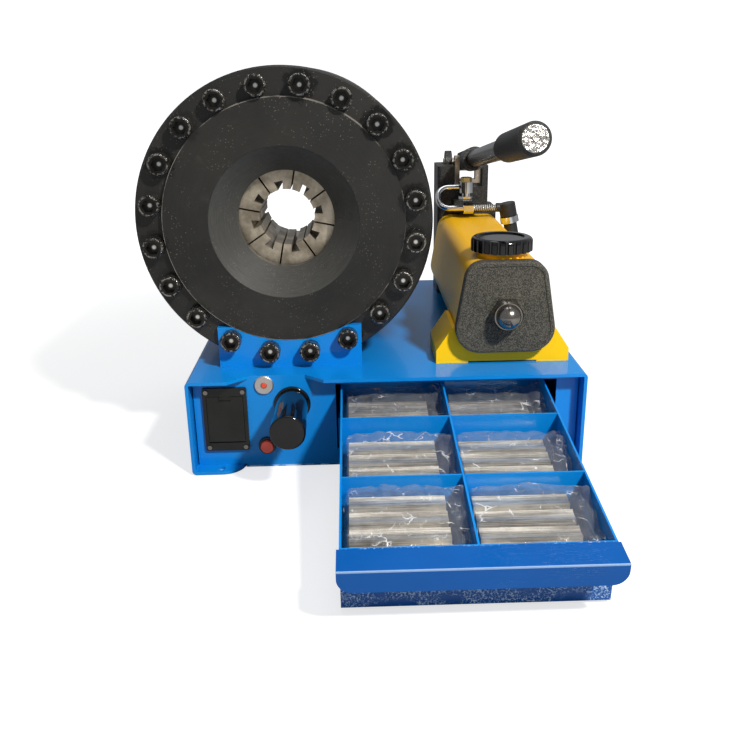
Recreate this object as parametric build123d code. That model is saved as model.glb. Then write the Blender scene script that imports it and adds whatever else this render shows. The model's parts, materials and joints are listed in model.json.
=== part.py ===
"""Bench hose crimping machine: a sheet-metal base with a die drawer, an annular-piston
crimping head with eight master dies, and a hand pump beside it.

Frame: X to the right, Y to the back, Z up, millimetres. The origin is the centre of the
four foot holes, in the plane that the feet stand on. The drawer is stored pulled out and
tipped over its sill roller; the dies are stored nearly closed.
"""
import os
from math import asin, cos, degrees, radians, sin, tan

from build123d import *

# ---- base ----
base_width = 350.0
base_depth = 360.0
base_height = 88.0
shell_wall = 3.0
shell_bend = 4.0
foot_flange = 46.0
foot_corner = 20.0
foot_hole_radius = 3.5
foot_hole_inset = 25.0
foot_hole_setback = 7.0
panel_setback = 15.0
panel_wall = 2.0
panel_side_gap = 1.0
panel_flange = 14.0
notch_centre = -97.0
notch_top_width = 50.0
notch_bottom_width = 84.0
back_panel_setback = 12.0

# ---- drawer ----
drawer_droop = 6.6
drawer_travel = 222.0
drawer_left = -40.5
drawer_right = 140.6
drawer_wall = 1.5
drawer_height = 48.2
drawer_stop = 3.4
row_depth = 87.0
front_row_depth = 83.5
lip_reach = 22.8
lip_drop = 16.5
lip_corner = 10.5
lip_overhang_left = 1.8
lip_overhang_right = 1.6
lip_leg = 15.0
roller_radius = 5.0
roller_axle_radius = 3.0
roller_setback = 8.0
roller_height = 23.5
running_gap = 0.3
axle_fit = 0.05
opening_left = -45.2
opening_right = 151.5
opening_bottom = 16.0
opening_top = 78.4
rail_wall = 2.0
rail_gap = 1.3
rail_bottom = 12.0
rail_top = 45.0
rail_leg = 14.0

# ---- crimping head ----
head_x = -85.0
flange_rim = 14.0
head_lift = 0.5
head_setback = 45.0
flange_length = 32.0
disc_margin = 10.0
disc_rise = 6.0
mouth_radius = 65.0
mouth_small_radius = 42.6
mouth_depth = 25.0
throat_end = 27.5
cone_angle = 25.0
spigot_end = 66.0
spigot_radius = 76.0
cup_step = 1.0
cup_end = 206.0
cup_floor = 176.0
cylinder_radius = 97.0
piston_fit = 0.08
tail_radius = 64.0
tail_end = 216.0
tail_bore = 45.4
piston_front = 73.0
piston_back = 128.0
seal_front = 96.0
seal_width = 8.0
seal_depth = 5.0
seal_gap = 0.2
die_front = 30.0
die_length = 78.0
die_bevel = 29.0
die_bore_radius = 24.6
die_end_radius = 47.0
die_count = 8
die_slit = 1.5
first_die_angle = -78.75
slot_mouth = 4.0
slot_bottom = 8.0
slot_depth = 7.4
cone_gap = 0.3
bolt_land = 17.0
bolt_count = 20
bolt_radius = 6.0
bolt_head_radius = 9.0
bolt_head_height = 12.0
bolt_key = 10.0
bolt_key_depth = 6.0
bolt_grip = 25.0
bolt_clearance = 0.5
thread_gap = 0.05
spring_count = 6
spring_radius = 7.0
spring_wall = 2.0
spring_land = 10.5
spring_pocket = 5.0
spring_length = 31.0
bracket_half_width = 64.0
bracket_height = 37.5
bracket_bolts = 4
rear_bracket_wall = 8.0
rear_bracket_height = 52.0
rear_bolt_inset = 12.0
rear_bolt_angles = (-118.0, -104.0, -76.0, -62.0)
port_radius = 2.3
port_station = 173.5

# ---- instruments on the front panel ----
battery_x = -143.4
battery_z = 47.9
battery_width = 39.0
battery_height = 59.5
battery_rise = 3.0
battery_body_width = 34.0
battery_body_height = 48.0
battery_body_depth = 28.0
battery_wall = 2.0
door_width = 32.0
door_height = 43.6
door_wall = 2.2
door_gap = 0.4
door_pin_radius = 1.1
door_pin_length = 1.6
door_notch_width = 10.7
door_notch_height = 4.0
battery_screw_x = 16.2
battery_screw_z = 26.3
battery_screw_radius = 1.2
battery_screw_head = 2.0
battery_screw_rise = 1.2
lamp_x = -108.2
lamp_drop = 8.8
lamp_radius = 8.6
lamp_rise = 2.0
lamp_body_radius = 4.0
lamp_depth = 14.0
lamp_chamfer = 0.8
lens_radius = 2.8
lens_rise = 0.5
lens_depth = 2.0
lens_edge = 1.2
dial_x = -83.9
dial_drop = 27.0
collar_radius = 16.2
collar_rise = 3.0
collar_edge = 1.2
barrel_radius = 14.2
barrel_length = 49.0
barrel_tail = 8.0
knob_radius = 15.0
knob_end = 67.0
knob_edge = 1.5
knob_wall = 4.0
spindle_radius = 4.0
spindle_stroke = 6.0
spindle_tail = 30.0
button_x = -108.2
button_z = 21.5
button_ring_radius = 7.9
button_ring_rise = 3.0
button_cap_radius = 5.7
button_rise = 6.5
button_travel = 3.0
button_edge = 0.8
button_depth = 6.0
button_tube_radius = 6.7
button_tube_length = 14.0

# ---- spare dies ----
# Each compartment's die set crimps to its own radius; the segments lie along X in two layers.
set_radii = (14.0, 15.0, 16.0, 17.0, 18.0, 19.0)
segment_length = 70.0
segment_inset = 5.0
segment_setback = 2.6
segment_pitch = 19.4
segment_gap = 0.5
segment_tongue_neck = 3.2
segment_tongue_width = 7.0
segment_tongue_height = 5.0
segment_edge = 0.9
bag_gap = 0.4
bag_wall = 0.4

# ---- hand pump ----
pump_x = 106.0
tank_front = 36.0
tank_back = 292.0
tank_height = 78.7
tank_lift = 14.3
tank_top_half = 32.5
tank_bottom_half = 46.0
tank_top_corner = 15.0
tank_bottom_corner = 20.0
tank_wall = 2.5
cap_border = 1.6
cap_length = 12.0
cap_edge = 2.0
cap_rim = 4.0
cap_recess = 0.8
nut_height = 34.7
nut_across_flats = 26.0
nut_hex_length = 11.0
nut_dome_radius = 11.0
tie_rod_radius = 6.0
tie_bore_depth = 14.0
filler_setback = 60.0
neck_radius = 22.0
neck_height = 5.5
filler_radius = 27.5
filler_height = 12.0
filler_edge = 4.0
filler_dish_radius = 20.0
filler_dish = 1.2
filler_flutes = 24
filler_flute_radius = 1.6
filler_bore = 15.0
foot_half_width = 60.0
foot_upright = 12.0
foot_top_half = 46.0
foot_top_rise = 33.0
foot_wall = 3.0
foot_length = 60.0
foot_relief_width = 62.0
foot_relief_height = 1.5
body_left = 71.0
body_right = 129.0
body_length = 48.0
body_rise = 31.0
body_corner = 4.0
cheek_height = 23.0
shoulder_rise = 7.0
body_shoulder_right = 139.0
ledge_half_width = 14.0
ledge_reach = 22.0
ledge_rise = 6.0
ledge_height = 12.0
ear_inner_half = 16.0
ear_wall = 7.0
ear_radius = 13.0
pivot_setback = 328.0
pivot_rise = 24.0
pin_radius = 5.0
web_half_width = 8.0
web_half_height = 10.0
web_length = 52.0
socket_radius = 12.5
socket_length = 34.0
handle_angle = 8.05
handle_radius = 9.0
handle_wall = 2.0
handle_length = 395.0
grip_length = 122.0
grip_radius = 12.6
grip_neck_radius = 10.6
grip_neck_length = 16.0
plug_radius = 10.2
plug_rise = 1.0
plunger_offset = 22.0
plunger_radius = 9.0
plunger_length = 60.0
plunger_room = 12.0
fork_half_width = 14.5
fork_height = 30.0
fork_base = 4.0
fork_border = 3.0
fork_gap = 1.0
link_pin_radius = 3.0
link_slot_half_height = 4.6
link_slot_end = 33.0
link_slot_room = 1.2
valve_radius = 11.0
valve_length = 20.0
valve_gap = 3.0
valve_chamfer = 1.5
valve_stem_length = 14.0
valve_stem_radius = 5.0
valve_bore_depth = 18.0
valve_height = 34.0

# ---- oil line ----
fitting_x = 102.0
fitting_hex = 14.0
fitting_hex_length = 4.0
fitting_neck = 5.0
eye_radius = 8.0
eye_rise = 32.0
eye_half = 6.0
banjo_hex = 11.0
banjo_head = 5.0
pipe_radius = 3.0
pipe_bend = 13.0
hose_radius = 3.2
line_gap = 8.0
line_rise = 11.5
bend_x = 69.5
union_hex = 11.0
nut_start = 97.0
nut_end = 108.0
elbow_x = 145.0
elbow_slant = 12.0
elbow_rise = 16.5
elbow_radius = 9.4
elbow_length = 15.0
elbow_socket = 11.5
elbow_socket_radius = 5.0
band_length = 7.0
band_rise = 0.8
supply_radius = 7.5
supply_x = 161.0
supply_hole_radius = 9.5
supply_low = 60.0
port_hole_radius = 10.5
port_nut_hex = 15.0
port_nut_length = 12.0
port_nut_bore = 3.0

# ---- derived ----
front_y = -base_depth / 2
back_y = base_depth / 2
panel_y = front_y + panel_setback
panel_back_y = panel_y + panel_wall
head_y = front_y + head_setback
bolt_circle = 2 * (cylinder_radius + bolt_land)
flange_radius = bolt_circle / 2 + flange_rim
disc_radius = bolt_circle / 2 - disc_margin
cup_radius = flange_radius - cup_step
rear_bolt_circle = bolt_circle - rear_bolt_inset
spring_circle = 2 * (cylinder_radius - spring_land)
head_z = base_height + flange_radius + head_lift
top_under = base_height - shell_wall
inner_half = base_width / 2 - shell_wall
slope = tan(radians(cone_angle))
cone_offset = cone_gap / cos(radians(cone_angle))
die_mid_radius = die_end_radius + die_bevel * slope
die_back = die_front + die_length
roller_y = panel_y + roller_setback
tray_floor = roller_height + roller_radius + running_gap
tray_front = panel_y - drawer_travel - drawer_stop
tray_divider_front = tray_front + front_row_depth
tray_divider_back = tray_divider_front + row_depth + drawer_wall
tray_back = tray_divider_back + row_depth
tray_middle = (drawer_left + drawer_right) / 2
lamp_z = base_height - lamp_drop
dial_z = base_height - dial_drop
tank_bottom = base_height + tank_lift
tank_top = tank_bottom + tank_height
nut_z = tank_bottom + nut_height
ledge_bottom = tank_top + ledge_rise
ledge_top = ledge_bottom + ledge_height
body_shoulder = tank_top + shoulder_rise
body_top = tank_top + body_rise
cheek_top = body_top + cheek_height
pivot_height = body_top + pivot_rise
valve_z = base_height + valve_height
eye_height = tank_top + eye_rise
line_z = tank_top + line_rise
elbow_top = tank_top + elbow_rise
pump_front = front_y + tank_front
pump_back = front_y + tank_back
pivot_y = front_y + pivot_setback
plunger_y = pivot_y - plunger_offset
valve_y = pump_back + body_length / 2
door_axis_y = panel_y - battery_rise + door_wall / 2
door_axis_z = battery_z - door_height / 2 + door_wall / 2
filler_y = front_y + filler_setback
fitting_y = pump_back - ledge_reach / 2
line_y = pump_back - ledge_reach - line_gap
supply_entry = (supply_x, line_y)
port_entry = (head_x, head_y + port_station)
port_z = head_z - cup_radius


# ---- helpers ----
def block(x_span, y_span, z_span):
    """A box between the given ends on each axis."""
    size = [high - low for low, high in (x_span, y_span, z_span)]
    return Pos(x_span[0], y_span[0], z_span[0]) * Box(*size, align=(Align.MIN,) * 3)


def rod_y(radius, y_start, y_end, x, z):
    """A round bar along Y."""
    bar = Cylinder(radius, y_end - y_start, align=(Align.CENTER, Align.CENTER, Align.MIN))
    return Pos(x, y_start, z) * Rot(-90, 0, 0) * bar


def rod_x(radius, x_start, x_end, y, z):
    """A round bar along X."""
    bar = Cylinder(radius, x_end - x_start, align=(Align.CENTER, Align.CENTER, Align.MIN))
    return Pos(x_start, y, z) * Rot(0, 90, 0) * bar


def rod_z(radius, z_start, z_end, x, y):
    """A round bar along Z."""
    bar = Cylinder(radius, z_end - z_start, align=(Align.CENTER, Align.CENTER, Align.MIN))
    return Pos(x, y, z_start) * bar


def prism_y(outline, y_start, y_end):
    """Extrudes an outline drawn in X and Z from one Y to another."""
    return Pos(0, y_start, 0) * extrude(Plane.XZ * outline, amount=y_start - y_end)


def prism_x(outline, x_start, x_end):
    """Extrudes an outline drawn in Y and Z from one X to another."""
    return Pos(x_start, 0, 0) * extrude(Plane.YZ * outline, amount=x_end - x_start)


def turned(*stations):
    """Revolves (radius, depth) stations about the head's axis; depth is behind the flange face."""
    outline = make_face(Polyline(*stations, close=True))
    return Pos(head_x, head_y, head_z) * revolve(outline, Axis.Y)


def on_circle(diameter, angle, x=head_x, z=head_z):
    """X and Z of a point on a circle about an axis along Y."""
    return (x + diameter / 2 * cos(radians(angle)), z + diameter / 2 * sin(radians(angle)))


def tipped(shape):
    """Tips a drawer piece, drawn level, over the sill roller."""
    pivot = Pos(0, roller_y, roller_height)
    return pivot * Rot(drawer_droop, 0, 0) * Pos(0, -roller_y, -roller_height) * shape


def hex_bar(across_flats, length):
    """A hexagonal bar along Z from the origin."""
    return extrude(RegularPolygon(across_flats / 2, 6, major_radius=False), amount=length)


# ---- base ----
def bolt_angles():
    """Angles of the flange bolts; the pitch line straddles the vertical."""
    pitch = 360 / bolt_count
    return [pitch / 2 - 90 + pitch * index for index in range(bolt_count)]


def make_base_shell():
    centre = Pos(0, base_height / 2)
    outer = centre * RectangleRounded(base_width, base_height, shell_bend)
    inner = centre * RectangleRounded(
        base_width - 2 * shell_wall, base_height - 2 * shell_wall, shell_bend - shell_wall
    )
    shell = prism_y(outer, front_y, back_y) - prism_y(inner, front_y, back_y)
    flange_edge = base_width / 2 - foot_flange
    shell -= block((-flange_edge, flange_edge), (front_y, back_y), (-1, shell_wall + 1))
    corners = shell.edges().filter_by(Axis.Z)
    corners = [edge for edge in corners if abs(edge.center().X) < flange_edge + 1]
    shell = fillet(corners, foot_corner)
    half_top = notch_top_width / 2
    half_bottom = notch_bottom_width / 2
    notch = Polyline(
        (notch_centre - half_bottom, front_y - 1),
        (notch_centre - half_bottom, front_y),
        (notch_centre - half_top, panel_y),
        (notch_centre + half_top, panel_y),
        (notch_centre + half_bottom, front_y),
        (notch_centre + half_bottom, front_y - 1),
        close=True,
    )
    shell -= Pos(0, 0, top_under) * extrude(make_face(notch), amount=2 * shell_wall)
    for x in (-1, 1):
        for y in (-1, 1):
            hole_x = x * (base_width / 2 - foot_hole_inset)
            hole_y = y * (base_depth / 2 - foot_hole_setback)
            shell -= rod_z(foot_hole_radius, -1, shell_wall + 1, hole_x, hole_y)
    for x, y, radius in ((*supply_entry, supply_hole_radius), (*port_entry, port_hole_radius)):
        shell -= rod_z(radius, top_under - 1, base_height + 1, x, y)
    return shell


def make_front_panel():
    half = inner_half - panel_side_gap
    flange_edge = base_width / 2 - foot_flange - panel_side_gap
    panel = block((-half, half), (panel_y, panel_back_y), (shell_wall, top_under))
    panel += block((-flange_edge, flange_edge), (panel_y, panel_back_y), (0, shell_wall))
    panel += block((-flange_edge, flange_edge), (panel_y, panel_back_y + panel_flange), (0, panel_wall))
    for side in (-1, 1):
        span = sorted((side * half, side * (half - panel_wall)))
        panel += block(span, (panel_y, panel_back_y + panel_flange), (shell_wall, top_under))
    through = (panel_y - 1, panel_back_y + 1)
    panel -= block((opening_left, opening_right), through, (opening_bottom, opening_top))
    body_low = battery_z - battery_body_height / 2
    body_high = battery_z + battery_body_height / 2
    body_side = battery_body_width / 2
    panel -= block((battery_x - body_side, battery_x + body_side), through, (body_low, body_high))
    for x, z, radius in (
        (lamp_x, lamp_z, lamp_body_radius),
        (dial_x, dial_z, barrel_radius),
        (button_x, button_z, button_tube_radius),
    ):
        panel -= rod_y(radius, *through, x, z)
    return panel


def make_back_panel():
    half = inner_half - panel_side_gap
    face = back_y - back_panel_setback
    panel = block((-half, half), (face - panel_wall, face), (shell_wall, top_under))
    for side in (-1, 1):
        span = sorted((side * half, side * (half - panel_wall)))
        panel += block(span, (face - panel_flange, face), (shell_wall, top_under))
    return panel


def make_drawer_rails():
    rails = []
    rear = back_y - back_panel_setback - panel_wall
    level = tray_floor - running_gap
    for side, face in ((-1, drawer_left - rail_gap), (1, drawer_right + rail_gap)):
        upright = sorted((face, face + side * rail_wall))
        leg = sorted((face, face - side * rail_leg))
        rail = block(upright, (panel_back_y, rear), (rail_bottom, rail_top))
        rail += block(leg, (roller_y + 2 * roller_radius, rear), (level - rail_wall, level))
        rail -= rod_x(roller_axle_radius + axle_fit, upright[0] - 1, upright[1] + 1, roller_y, roller_height)
        rails.append(rail)
    return Compound(children=rails)


def make_sill_roller():
    left = drawer_left - rail_gap
    right = drawer_right + rail_gap
    roller = rod_x(roller_radius, left + running_gap, right - running_gap, roller_y, roller_height)
    return roller + rod_x(roller_axle_radius, left - rail_wall, right + rail_wall, roller_y, roller_height)


# ---- drawer ----
def make_drawer_tray():
    floor_z = tray_floor
    tray = block((drawer_left, drawer_right), (tray_front, tray_back), (floor_z, floor_z + drawer_height))
    inner_x = (drawer_left + drawer_wall, drawer_right - drawer_wall)
    inner_y = (tray_front + drawer_wall, tray_back - drawer_wall)
    tray -= block(inner_x, inner_y, (floor_z + drawer_wall, floor_z + drawer_height + 1))
    return tipped(tray)


def make_drawer_front():
    """Bent handle: a leg on the tray's face, a flat ledge and a turned-down lip with round corners."""
    top = tray_floor + drawer_height
    span = (drawer_left - lip_overhang_left, drawer_right + lip_overhang_right)
    outer = tray_front - lip_reach
    front = block(span, (outer, tray_front), (top - drawer_wall, top))
    front += block(span, (tray_front - drawer_wall, tray_front), (top - lip_leg, top))
    front += block(span, (outer, outer + drawer_wall), (top - lip_drop, top))
    corners = [
        edge
        for edge in front.edges().filter_by(Axis.Y)
        if edge.center().Y < outer + drawer_wall and edge.center().Z < top - lip_drop + 1
    ]
    return tipped(fillet(corners, lip_corner))


def make_long_divider():
    """Lengthwise wall with slots from below for the two cross walls."""
    half = drawer_wall / 2
    low = tray_floor + drawer_wall
    wall = block(
        (tray_middle - half, tray_middle + half),
        (tray_front + drawer_wall, tray_back - drawer_wall),
        (low, tray_floor + drawer_height),
    )
    middle = (low + tray_floor + drawer_height) / 2
    for y in (tray_divider_front, tray_divider_back):
        slot = (y - running_gap, y + drawer_wall + running_gap)
        wall -= block((tray_middle - 2, tray_middle + 2), slot, (low - 1, middle))
    return tipped(wall)


def make_cross_dividers():
    """Two walls across the tray with slots from above for the lengthwise wall."""
    low = tray_floor + drawer_wall
    middle = (low + tray_floor + drawer_height) / 2
    walls = []
    for y in (tray_divider_front, tray_divider_back):
        wall = block(
            (drawer_left + drawer_wall, drawer_right - drawer_wall),
            (y, y + drawer_wall),
            (low, tray_floor + drawer_height),
        )
        half_slot = drawer_wall / 2 + running_gap
        slot = (tray_middle - half_slot, tray_middle + half_slot)
        wall -= block(slot, (y - 1, y + drawer_wall + 1), (middle, middle + drawer_height))
        walls.append(tipped(wall))
    return Compound(children=walls)


def segment_outline(crimp_radius):
    """Cross-section of a die segment: dovetail tongue below, crimping arc on top, origin at its foot."""
    outer = die_bore_radius - die_slit / 2
    wedge = radians(180 / die_count)
    wide = (outer - segment_edge) * sin(wedge)
    narrow = crimp_radius * sin(wedge)
    height = outer - crimp_radius * cos(wedge)
    neck = segment_tongue_neck / 2
    tongue = segment_tongue_width / 2
    foot = segment_tongue_height
    outline = Polyline(
        (-tongue, 0), (tongue, 0), (neck, foot), (wide, foot + segment_edge),
        (narrow, foot + height), (-narrow, foot + height), (-wide, foot + segment_edge), (-neck, foot),
        close=True,
    )
    arc_centre = foot + outer
    return make_face(outline) - Pos(0, arc_centre) * Circle(crimp_radius), foot + height


def compartments():
    """Low corner of each compartment: X, Y."""
    rows = (
        tray_front + drawer_wall,
        tray_divider_front + drawer_wall,
        tray_divider_back + drawer_wall,
    )
    columns = (drawer_left + drawer_wall, tray_middle + drawer_wall / 2)
    return [(x, y) for y in rows for x in columns]


def make_spare_dies_and_bags():
    segments = []
    bags = []
    low = tray_floor + drawer_wall + running_gap + bag_wall + bag_gap
    for (x, y), crimp_radius in zip(compartments(), set_radii):
        outline, height = segment_outline(crimp_radius)
        start = x + segment_inset
        first = y + segment_setback + segment_pitch / 2
        for layer in range(2):
            for column in range(die_count // 2):
                centre = first + column * segment_pitch
                floor = low + layer * (height + segment_gap)
                place = Pos(centre, floor)
                segments.append(tipped(prism_x(place * outline, start, start + segment_length)))
        pack_y = (first - segment_pitch / 2, first + (die_count // 2 - 0.5) * segment_pitch)
        pack_z = (low, low + 2 * height + segment_gap)
        inner = [(start, start + segment_length), pack_y, pack_z]
        inner = [(a - bag_gap, b + bag_gap) for a, b in inner]
        outer = [(a - bag_wall, b + bag_wall) for a, b in inner]
        bags.append(tipped(block(*outer) - block(*inner)))
    return Compound(children=segments), Compound(children=bags)


# ---- crimping head ----
def front_seat_radius(depth):
    """Radius of the flange's cone seat at a depth behind the flange face."""
    return die_end_radius + (depth - die_front) * slope + cone_offset


def piston_seat_radius(depth):
    """Radius of the piston's cone seat at a depth behind the flange face."""
    return die_end_radius + (die_back - depth) * slope + cone_offset


def make_head_flange():
    chamfer = 1.5
    flange = turned(
        (mouth_radius, -disc_rise),
        (disc_radius, -disc_rise),
        (disc_radius, 0),
        (flange_radius - chamfer, 0),
        (flange_radius, chamfer),
        (flange_radius, flange_length),
        (cylinder_radius - thread_gap, flange_length),
        (cylinder_radius - thread_gap, flange_length + spring_pocket),
        (spigot_radius, flange_length + spring_pocket),
        (spigot_radius, spigot_end),
        (front_seat_radius(spigot_end), spigot_end),
        (front_seat_radius(throat_end), throat_end),
        (mouth_small_radius, throat_end),
        (mouth_small_radius, mouth_depth - disc_rise),
    )
    for angle in bolt_angles():
        x, z = on_circle(bolt_circle, angle)
        flange -= rod_y(bolt_radius + bolt_clearance, head_y - 1, head_y + flange_length + 1, x, z)
    return flange


def make_cylinder():
    chamfer = 2.0
    cup = turned(
        (cylinder_radius, flange_length),
        (cup_radius, flange_length),
        (cup_radius, cup_end - chamfer),
        (cup_radius - chamfer, cup_end),
        (tail_radius + piston_fit, cup_end),
        (tail_radius + piston_fit, cup_floor),
        (cylinder_radius, cup_floor),
    )
    bottom = head_y + flange_length
    for angle in bolt_angles():
        x, z = on_circle(bolt_circle, angle)
        cup -= rod_y(bolt_radius + thread_gap, bottom - 1, bottom + bolt_grip + 3, x, z)
    rear = head_y + cup_end
    for angle in rear_bolt_angles:
        x, z = on_circle(rear_bolt_circle, angle)
        cup -= rod_y(bolt_radius + thread_gap, rear - bolt_grip + 5, rear + 1, x, z)
    return cup - rod_z(port_radius, port_z - 1, head_z - cylinder_radius + 1, *port_entry)


def make_piston():
    ring_radius = cylinder_radius - piston_fit
    return turned(
        (piston_seat_radius(piston_front), piston_front),
        (ring_radius, piston_front),
        (ring_radius, seal_front),
        (ring_radius - seal_depth, seal_front),
        (ring_radius - seal_depth, seal_front + seal_width),
        (ring_radius, seal_front + seal_width),
        (ring_radius, piston_back),
        (tail_radius, piston_back),
        (tail_radius, tail_end),
        (tail_bore, tail_end),
        (tail_bore, die_back + (die_end_radius + cone_offset - tail_bore) / slope),
    )


def make_piston_seal():
    outer = cylinder_radius - piston_fit / 2
    inner = cylinder_radius - piston_fit - seal_depth + seal_gap
    front = seal_front + seal_gap
    back = seal_front + seal_width - seal_gap
    return turned((inner, front), (outer, front), (outer, back), (inner, back))


def make_master_die(index):
    """One of the eight dies: a wedge with two conical bevels and a dovetail slot along its bore."""
    ring = turned(
        (die_bore_radius, die_front),
        (die_end_radius, die_front),
        (die_mid_radius, die_front + die_bevel),
        (die_mid_radius, die_back - die_bevel),
        (die_end_radius, die_back),
        (die_bore_radius, die_back),
    )
    half_angle = radians(180 / die_count)
    apex = die_slit / 2 / sin(half_angle)
    reach = 2 * die_mid_radius
    half_width = reach * tan(half_angle)
    wedge = Polyline((apex, 0), (apex + reach, half_width), (apex + reach, -half_width), close=True)
    slot = Polyline(
        (die_bore_radius - 2, slot_mouth / 2),
        (die_bore_radius, slot_mouth / 2),
        (die_bore_radius + slot_depth, slot_bottom / 2),
        (die_bore_radius + slot_depth, -slot_bottom / 2),
        (die_bore_radius, -slot_mouth / 2),
        (die_bore_radius - 2, -slot_mouth / 2),
        close=True,
    )
    section = make_face(wedge) - make_face(slot)
    place = Pos(head_x, head_z) * Rot(0, 0, first_die_angle + index * 360 / die_count)
    return ring & prism_y(place * section, head_y + die_front - 1, head_y + die_back + 1)


def socket_screw(length):
    """A socket head cap screw along +Y, with the underside of its head at the origin."""
    head = Cylinder(bolt_head_radius, bolt_head_height, align=(Align.CENTER, Align.CENTER, Align.MIN))
    head = chamfer(head.edges().group_by(Axis.Z)[-1], 1.0)
    head -= Pos(0, 0, bolt_head_height - bolt_key_depth) * hex_bar(bolt_key, bolt_key_depth + 1)
    shank = Cylinder(bolt_radius, length, align=(Align.CENTER, Align.CENTER, Align.MAX))
    return Rot(90, 0, 0) * (head + shank)


def on_bracket(angle):
    """Whether a flange bolt also holds the front bracket."""
    from_bottom = (angle + 270) % 360 - 180
    return abs(from_bottom) < bracket_bolts / 2 * 360 / bolt_count


def make_flange_screws():
    screw = socket_screw(flange_length + bolt_grip)
    places = [on_circle(bolt_circle, angle) for angle in bolt_angles() if not on_bracket(angle)]
    return Compound(children=[Pos(x, head_y, z) * screw for x, z in places])


def make_bracket_screws():
    front = socket_screw(flange_length + bolt_grip + disc_rise)
    places = [on_circle(bolt_circle, angle) for angle in bolt_angles() if on_bracket(angle)]
    screws = [Pos(x, head_y - disc_rise, z) * front for x, z in places]
    rear = Rot(0, 0, 180) * socket_screw(bolt_grip + rear_bracket_wall - 6)
    face = head_y + cup_end + rear_bracket_wall
    for angle in rear_bolt_angles:
        x, z = on_circle(rear_bolt_circle, angle)
        screws.append(Pos(x, face, z) * rear)
    return Compound(children=screws)


def make_front_bracket():
    """Plate in front of the flange whose upper edge follows the raised disc."""
    low = base_height
    plate = block(
        (head_x - bracket_half_width, head_x + bracket_half_width),
        (head_y - disc_rise, head_y),
        (low, low + bracket_height),
    )
    plate -= rod_y(disc_radius + running_gap, head_y - disc_rise - 1, head_y + 1, head_x, head_z)
    for angle in bolt_angles():
        if on_bracket(angle):
            x, z = on_circle(bolt_circle, angle)
            plate -= rod_y(bolt_radius + bolt_clearance, head_y - disc_rise - 1, head_y + 1, x, z)
    return plate


def make_rear_bracket():
    front = head_y + cup_end
    plate = block(
        (head_x - bracket_half_width, head_x + bracket_half_width),
        (front, front + rear_bracket_wall),
        (base_height, base_height + rear_bracket_height),
    )
    for angle in rear_bolt_angles:
        x, z = on_circle(rear_bolt_circle, angle)
        plate -= rod_y(bolt_radius + bolt_clearance, front - 1, front + rear_bracket_wall + 1, x, z)
    return plate


def make_return_springs():
    springs = []
    start = head_y + flange_length + spring_pocket
    end = start + spring_length
    for index in range(spring_count):
        x, z = on_circle(spring_circle, 30 + index * 360 / spring_count)
        coil = rod_y(spring_radius, start, end, x, z)
        springs.append(coil - rod_y(spring_radius - spring_wall, start - 1, end + 1, x, z))
    return Compound(children=springs)


# ---- instruments ----
def make_battery_box():
    """Moulded box through the panel with a bezel, a door recess and a hollow for the battery."""
    face = panel_y - battery_rise
    bezel = Pos(battery_x, battery_z) * RectangleRounded(battery_width, battery_height, 2.0)
    box = prism_y(bezel, face, panel_y)
    half_w = battery_body_width / 2
    half_h = battery_body_height / 2
    back = panel_back_y + battery_body_depth
    box += block(
        (battery_x - half_w + running_gap, battery_x + half_w - running_gap),
        (panel_y, back),
        (battery_z - half_h + running_gap, battery_z + half_h - running_gap),
    )
    recess = Pos(battery_x, battery_z) * Rectangle(door_width + 2 * door_gap, door_height + 2 * door_gap)
    box -= prism_y(recess, face - 1, face + door_wall + door_gap)
    inner_w = door_width / 2 - battery_wall
    inner_h = door_height / 2 - 2 * battery_wall
    box -= block(
        (battery_x - inner_w, battery_x + inner_w),
        (face, back - battery_wall),
        (battery_z - inner_h, battery_z + inner_h),
    )
    pin_reach = door_width / 2 + door_pin_length + running_gap
    pin_ends = (battery_x - pin_reach, battery_x + pin_reach)
    box -= rod_x(door_pin_radius + axle_fit, *pin_ends, door_axis_y, door_axis_z)
    for side_x in (-1, 1):
        for side_z in (-1, 1):
            x = battery_x + side_x * battery_screw_x
            z = battery_z + side_z * battery_screw_z
            box -= rod_y(battery_screw_radius + axle_fit, face - 1, panel_y + 1, x, z)
    return box


def make_battery_door():
    """Flap with a finger notch at its top and a round hinge edge with pins at its foot."""
    face = panel_y - battery_rise
    half = door_width / 2
    door_top = battery_z + door_height / 2
    door = block((battery_x - half, battery_x + half), (face, face + door_wall), (door_axis_z, door_top))
    door += rod_x(door_wall / 2, battery_x - half, battery_x + half, door_axis_y, door_axis_z)
    pin_reach = half + door_pin_length
    door += rod_x(door_pin_radius, battery_x - pin_reach, battery_x + pin_reach, door_axis_y, door_axis_z)
    notch = (battery_x - door_notch_width / 2, battery_x + door_notch_width / 2)
    return door - block(notch, (face - 1, face + door_wall / 2), (door_top - door_notch_height, door_top + 1))


def make_battery_screws():
    face = panel_y - battery_rise
    screws = []
    for side_x in (-1, 1):
        for side_z in (-1, 1):
            x = battery_x + side_x * battery_screw_x
            z = battery_z + side_z * battery_screw_z
            screw = rod_y(battery_screw_head, face - battery_screw_rise, face, x, z)
            screws.append(screw + rod_y(battery_screw_radius, face, panel_y - axle_fit, x, z))
    return Compound(children=screws)


def make_lamp_bezel():
    bezel = rod_y(lamp_radius, panel_y - lamp_rise, panel_y, lamp_x, lamp_z)
    bezel = chamfer(bezel.edges().group_by(Axis.Y)[0], lamp_chamfer)
    front = panel_y - lamp_rise
    bezel += rod_y(lamp_body_radius - running_gap, front + 1, panel_y + lamp_depth, lamp_x, lamp_z)
    return bezel - rod_y(lens_radius + axle_fit, front - 1, panel_y + lens_depth, lamp_x, lamp_z)


def make_lamp_lens():
    lens = rod_y(lens_radius, panel_y - lamp_rise - lens_rise, panel_y + lens_depth, lamp_x, lamp_z)
    return fillet(lens.edges().group_by(Axis.Y)[0], lens_edge)


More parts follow.
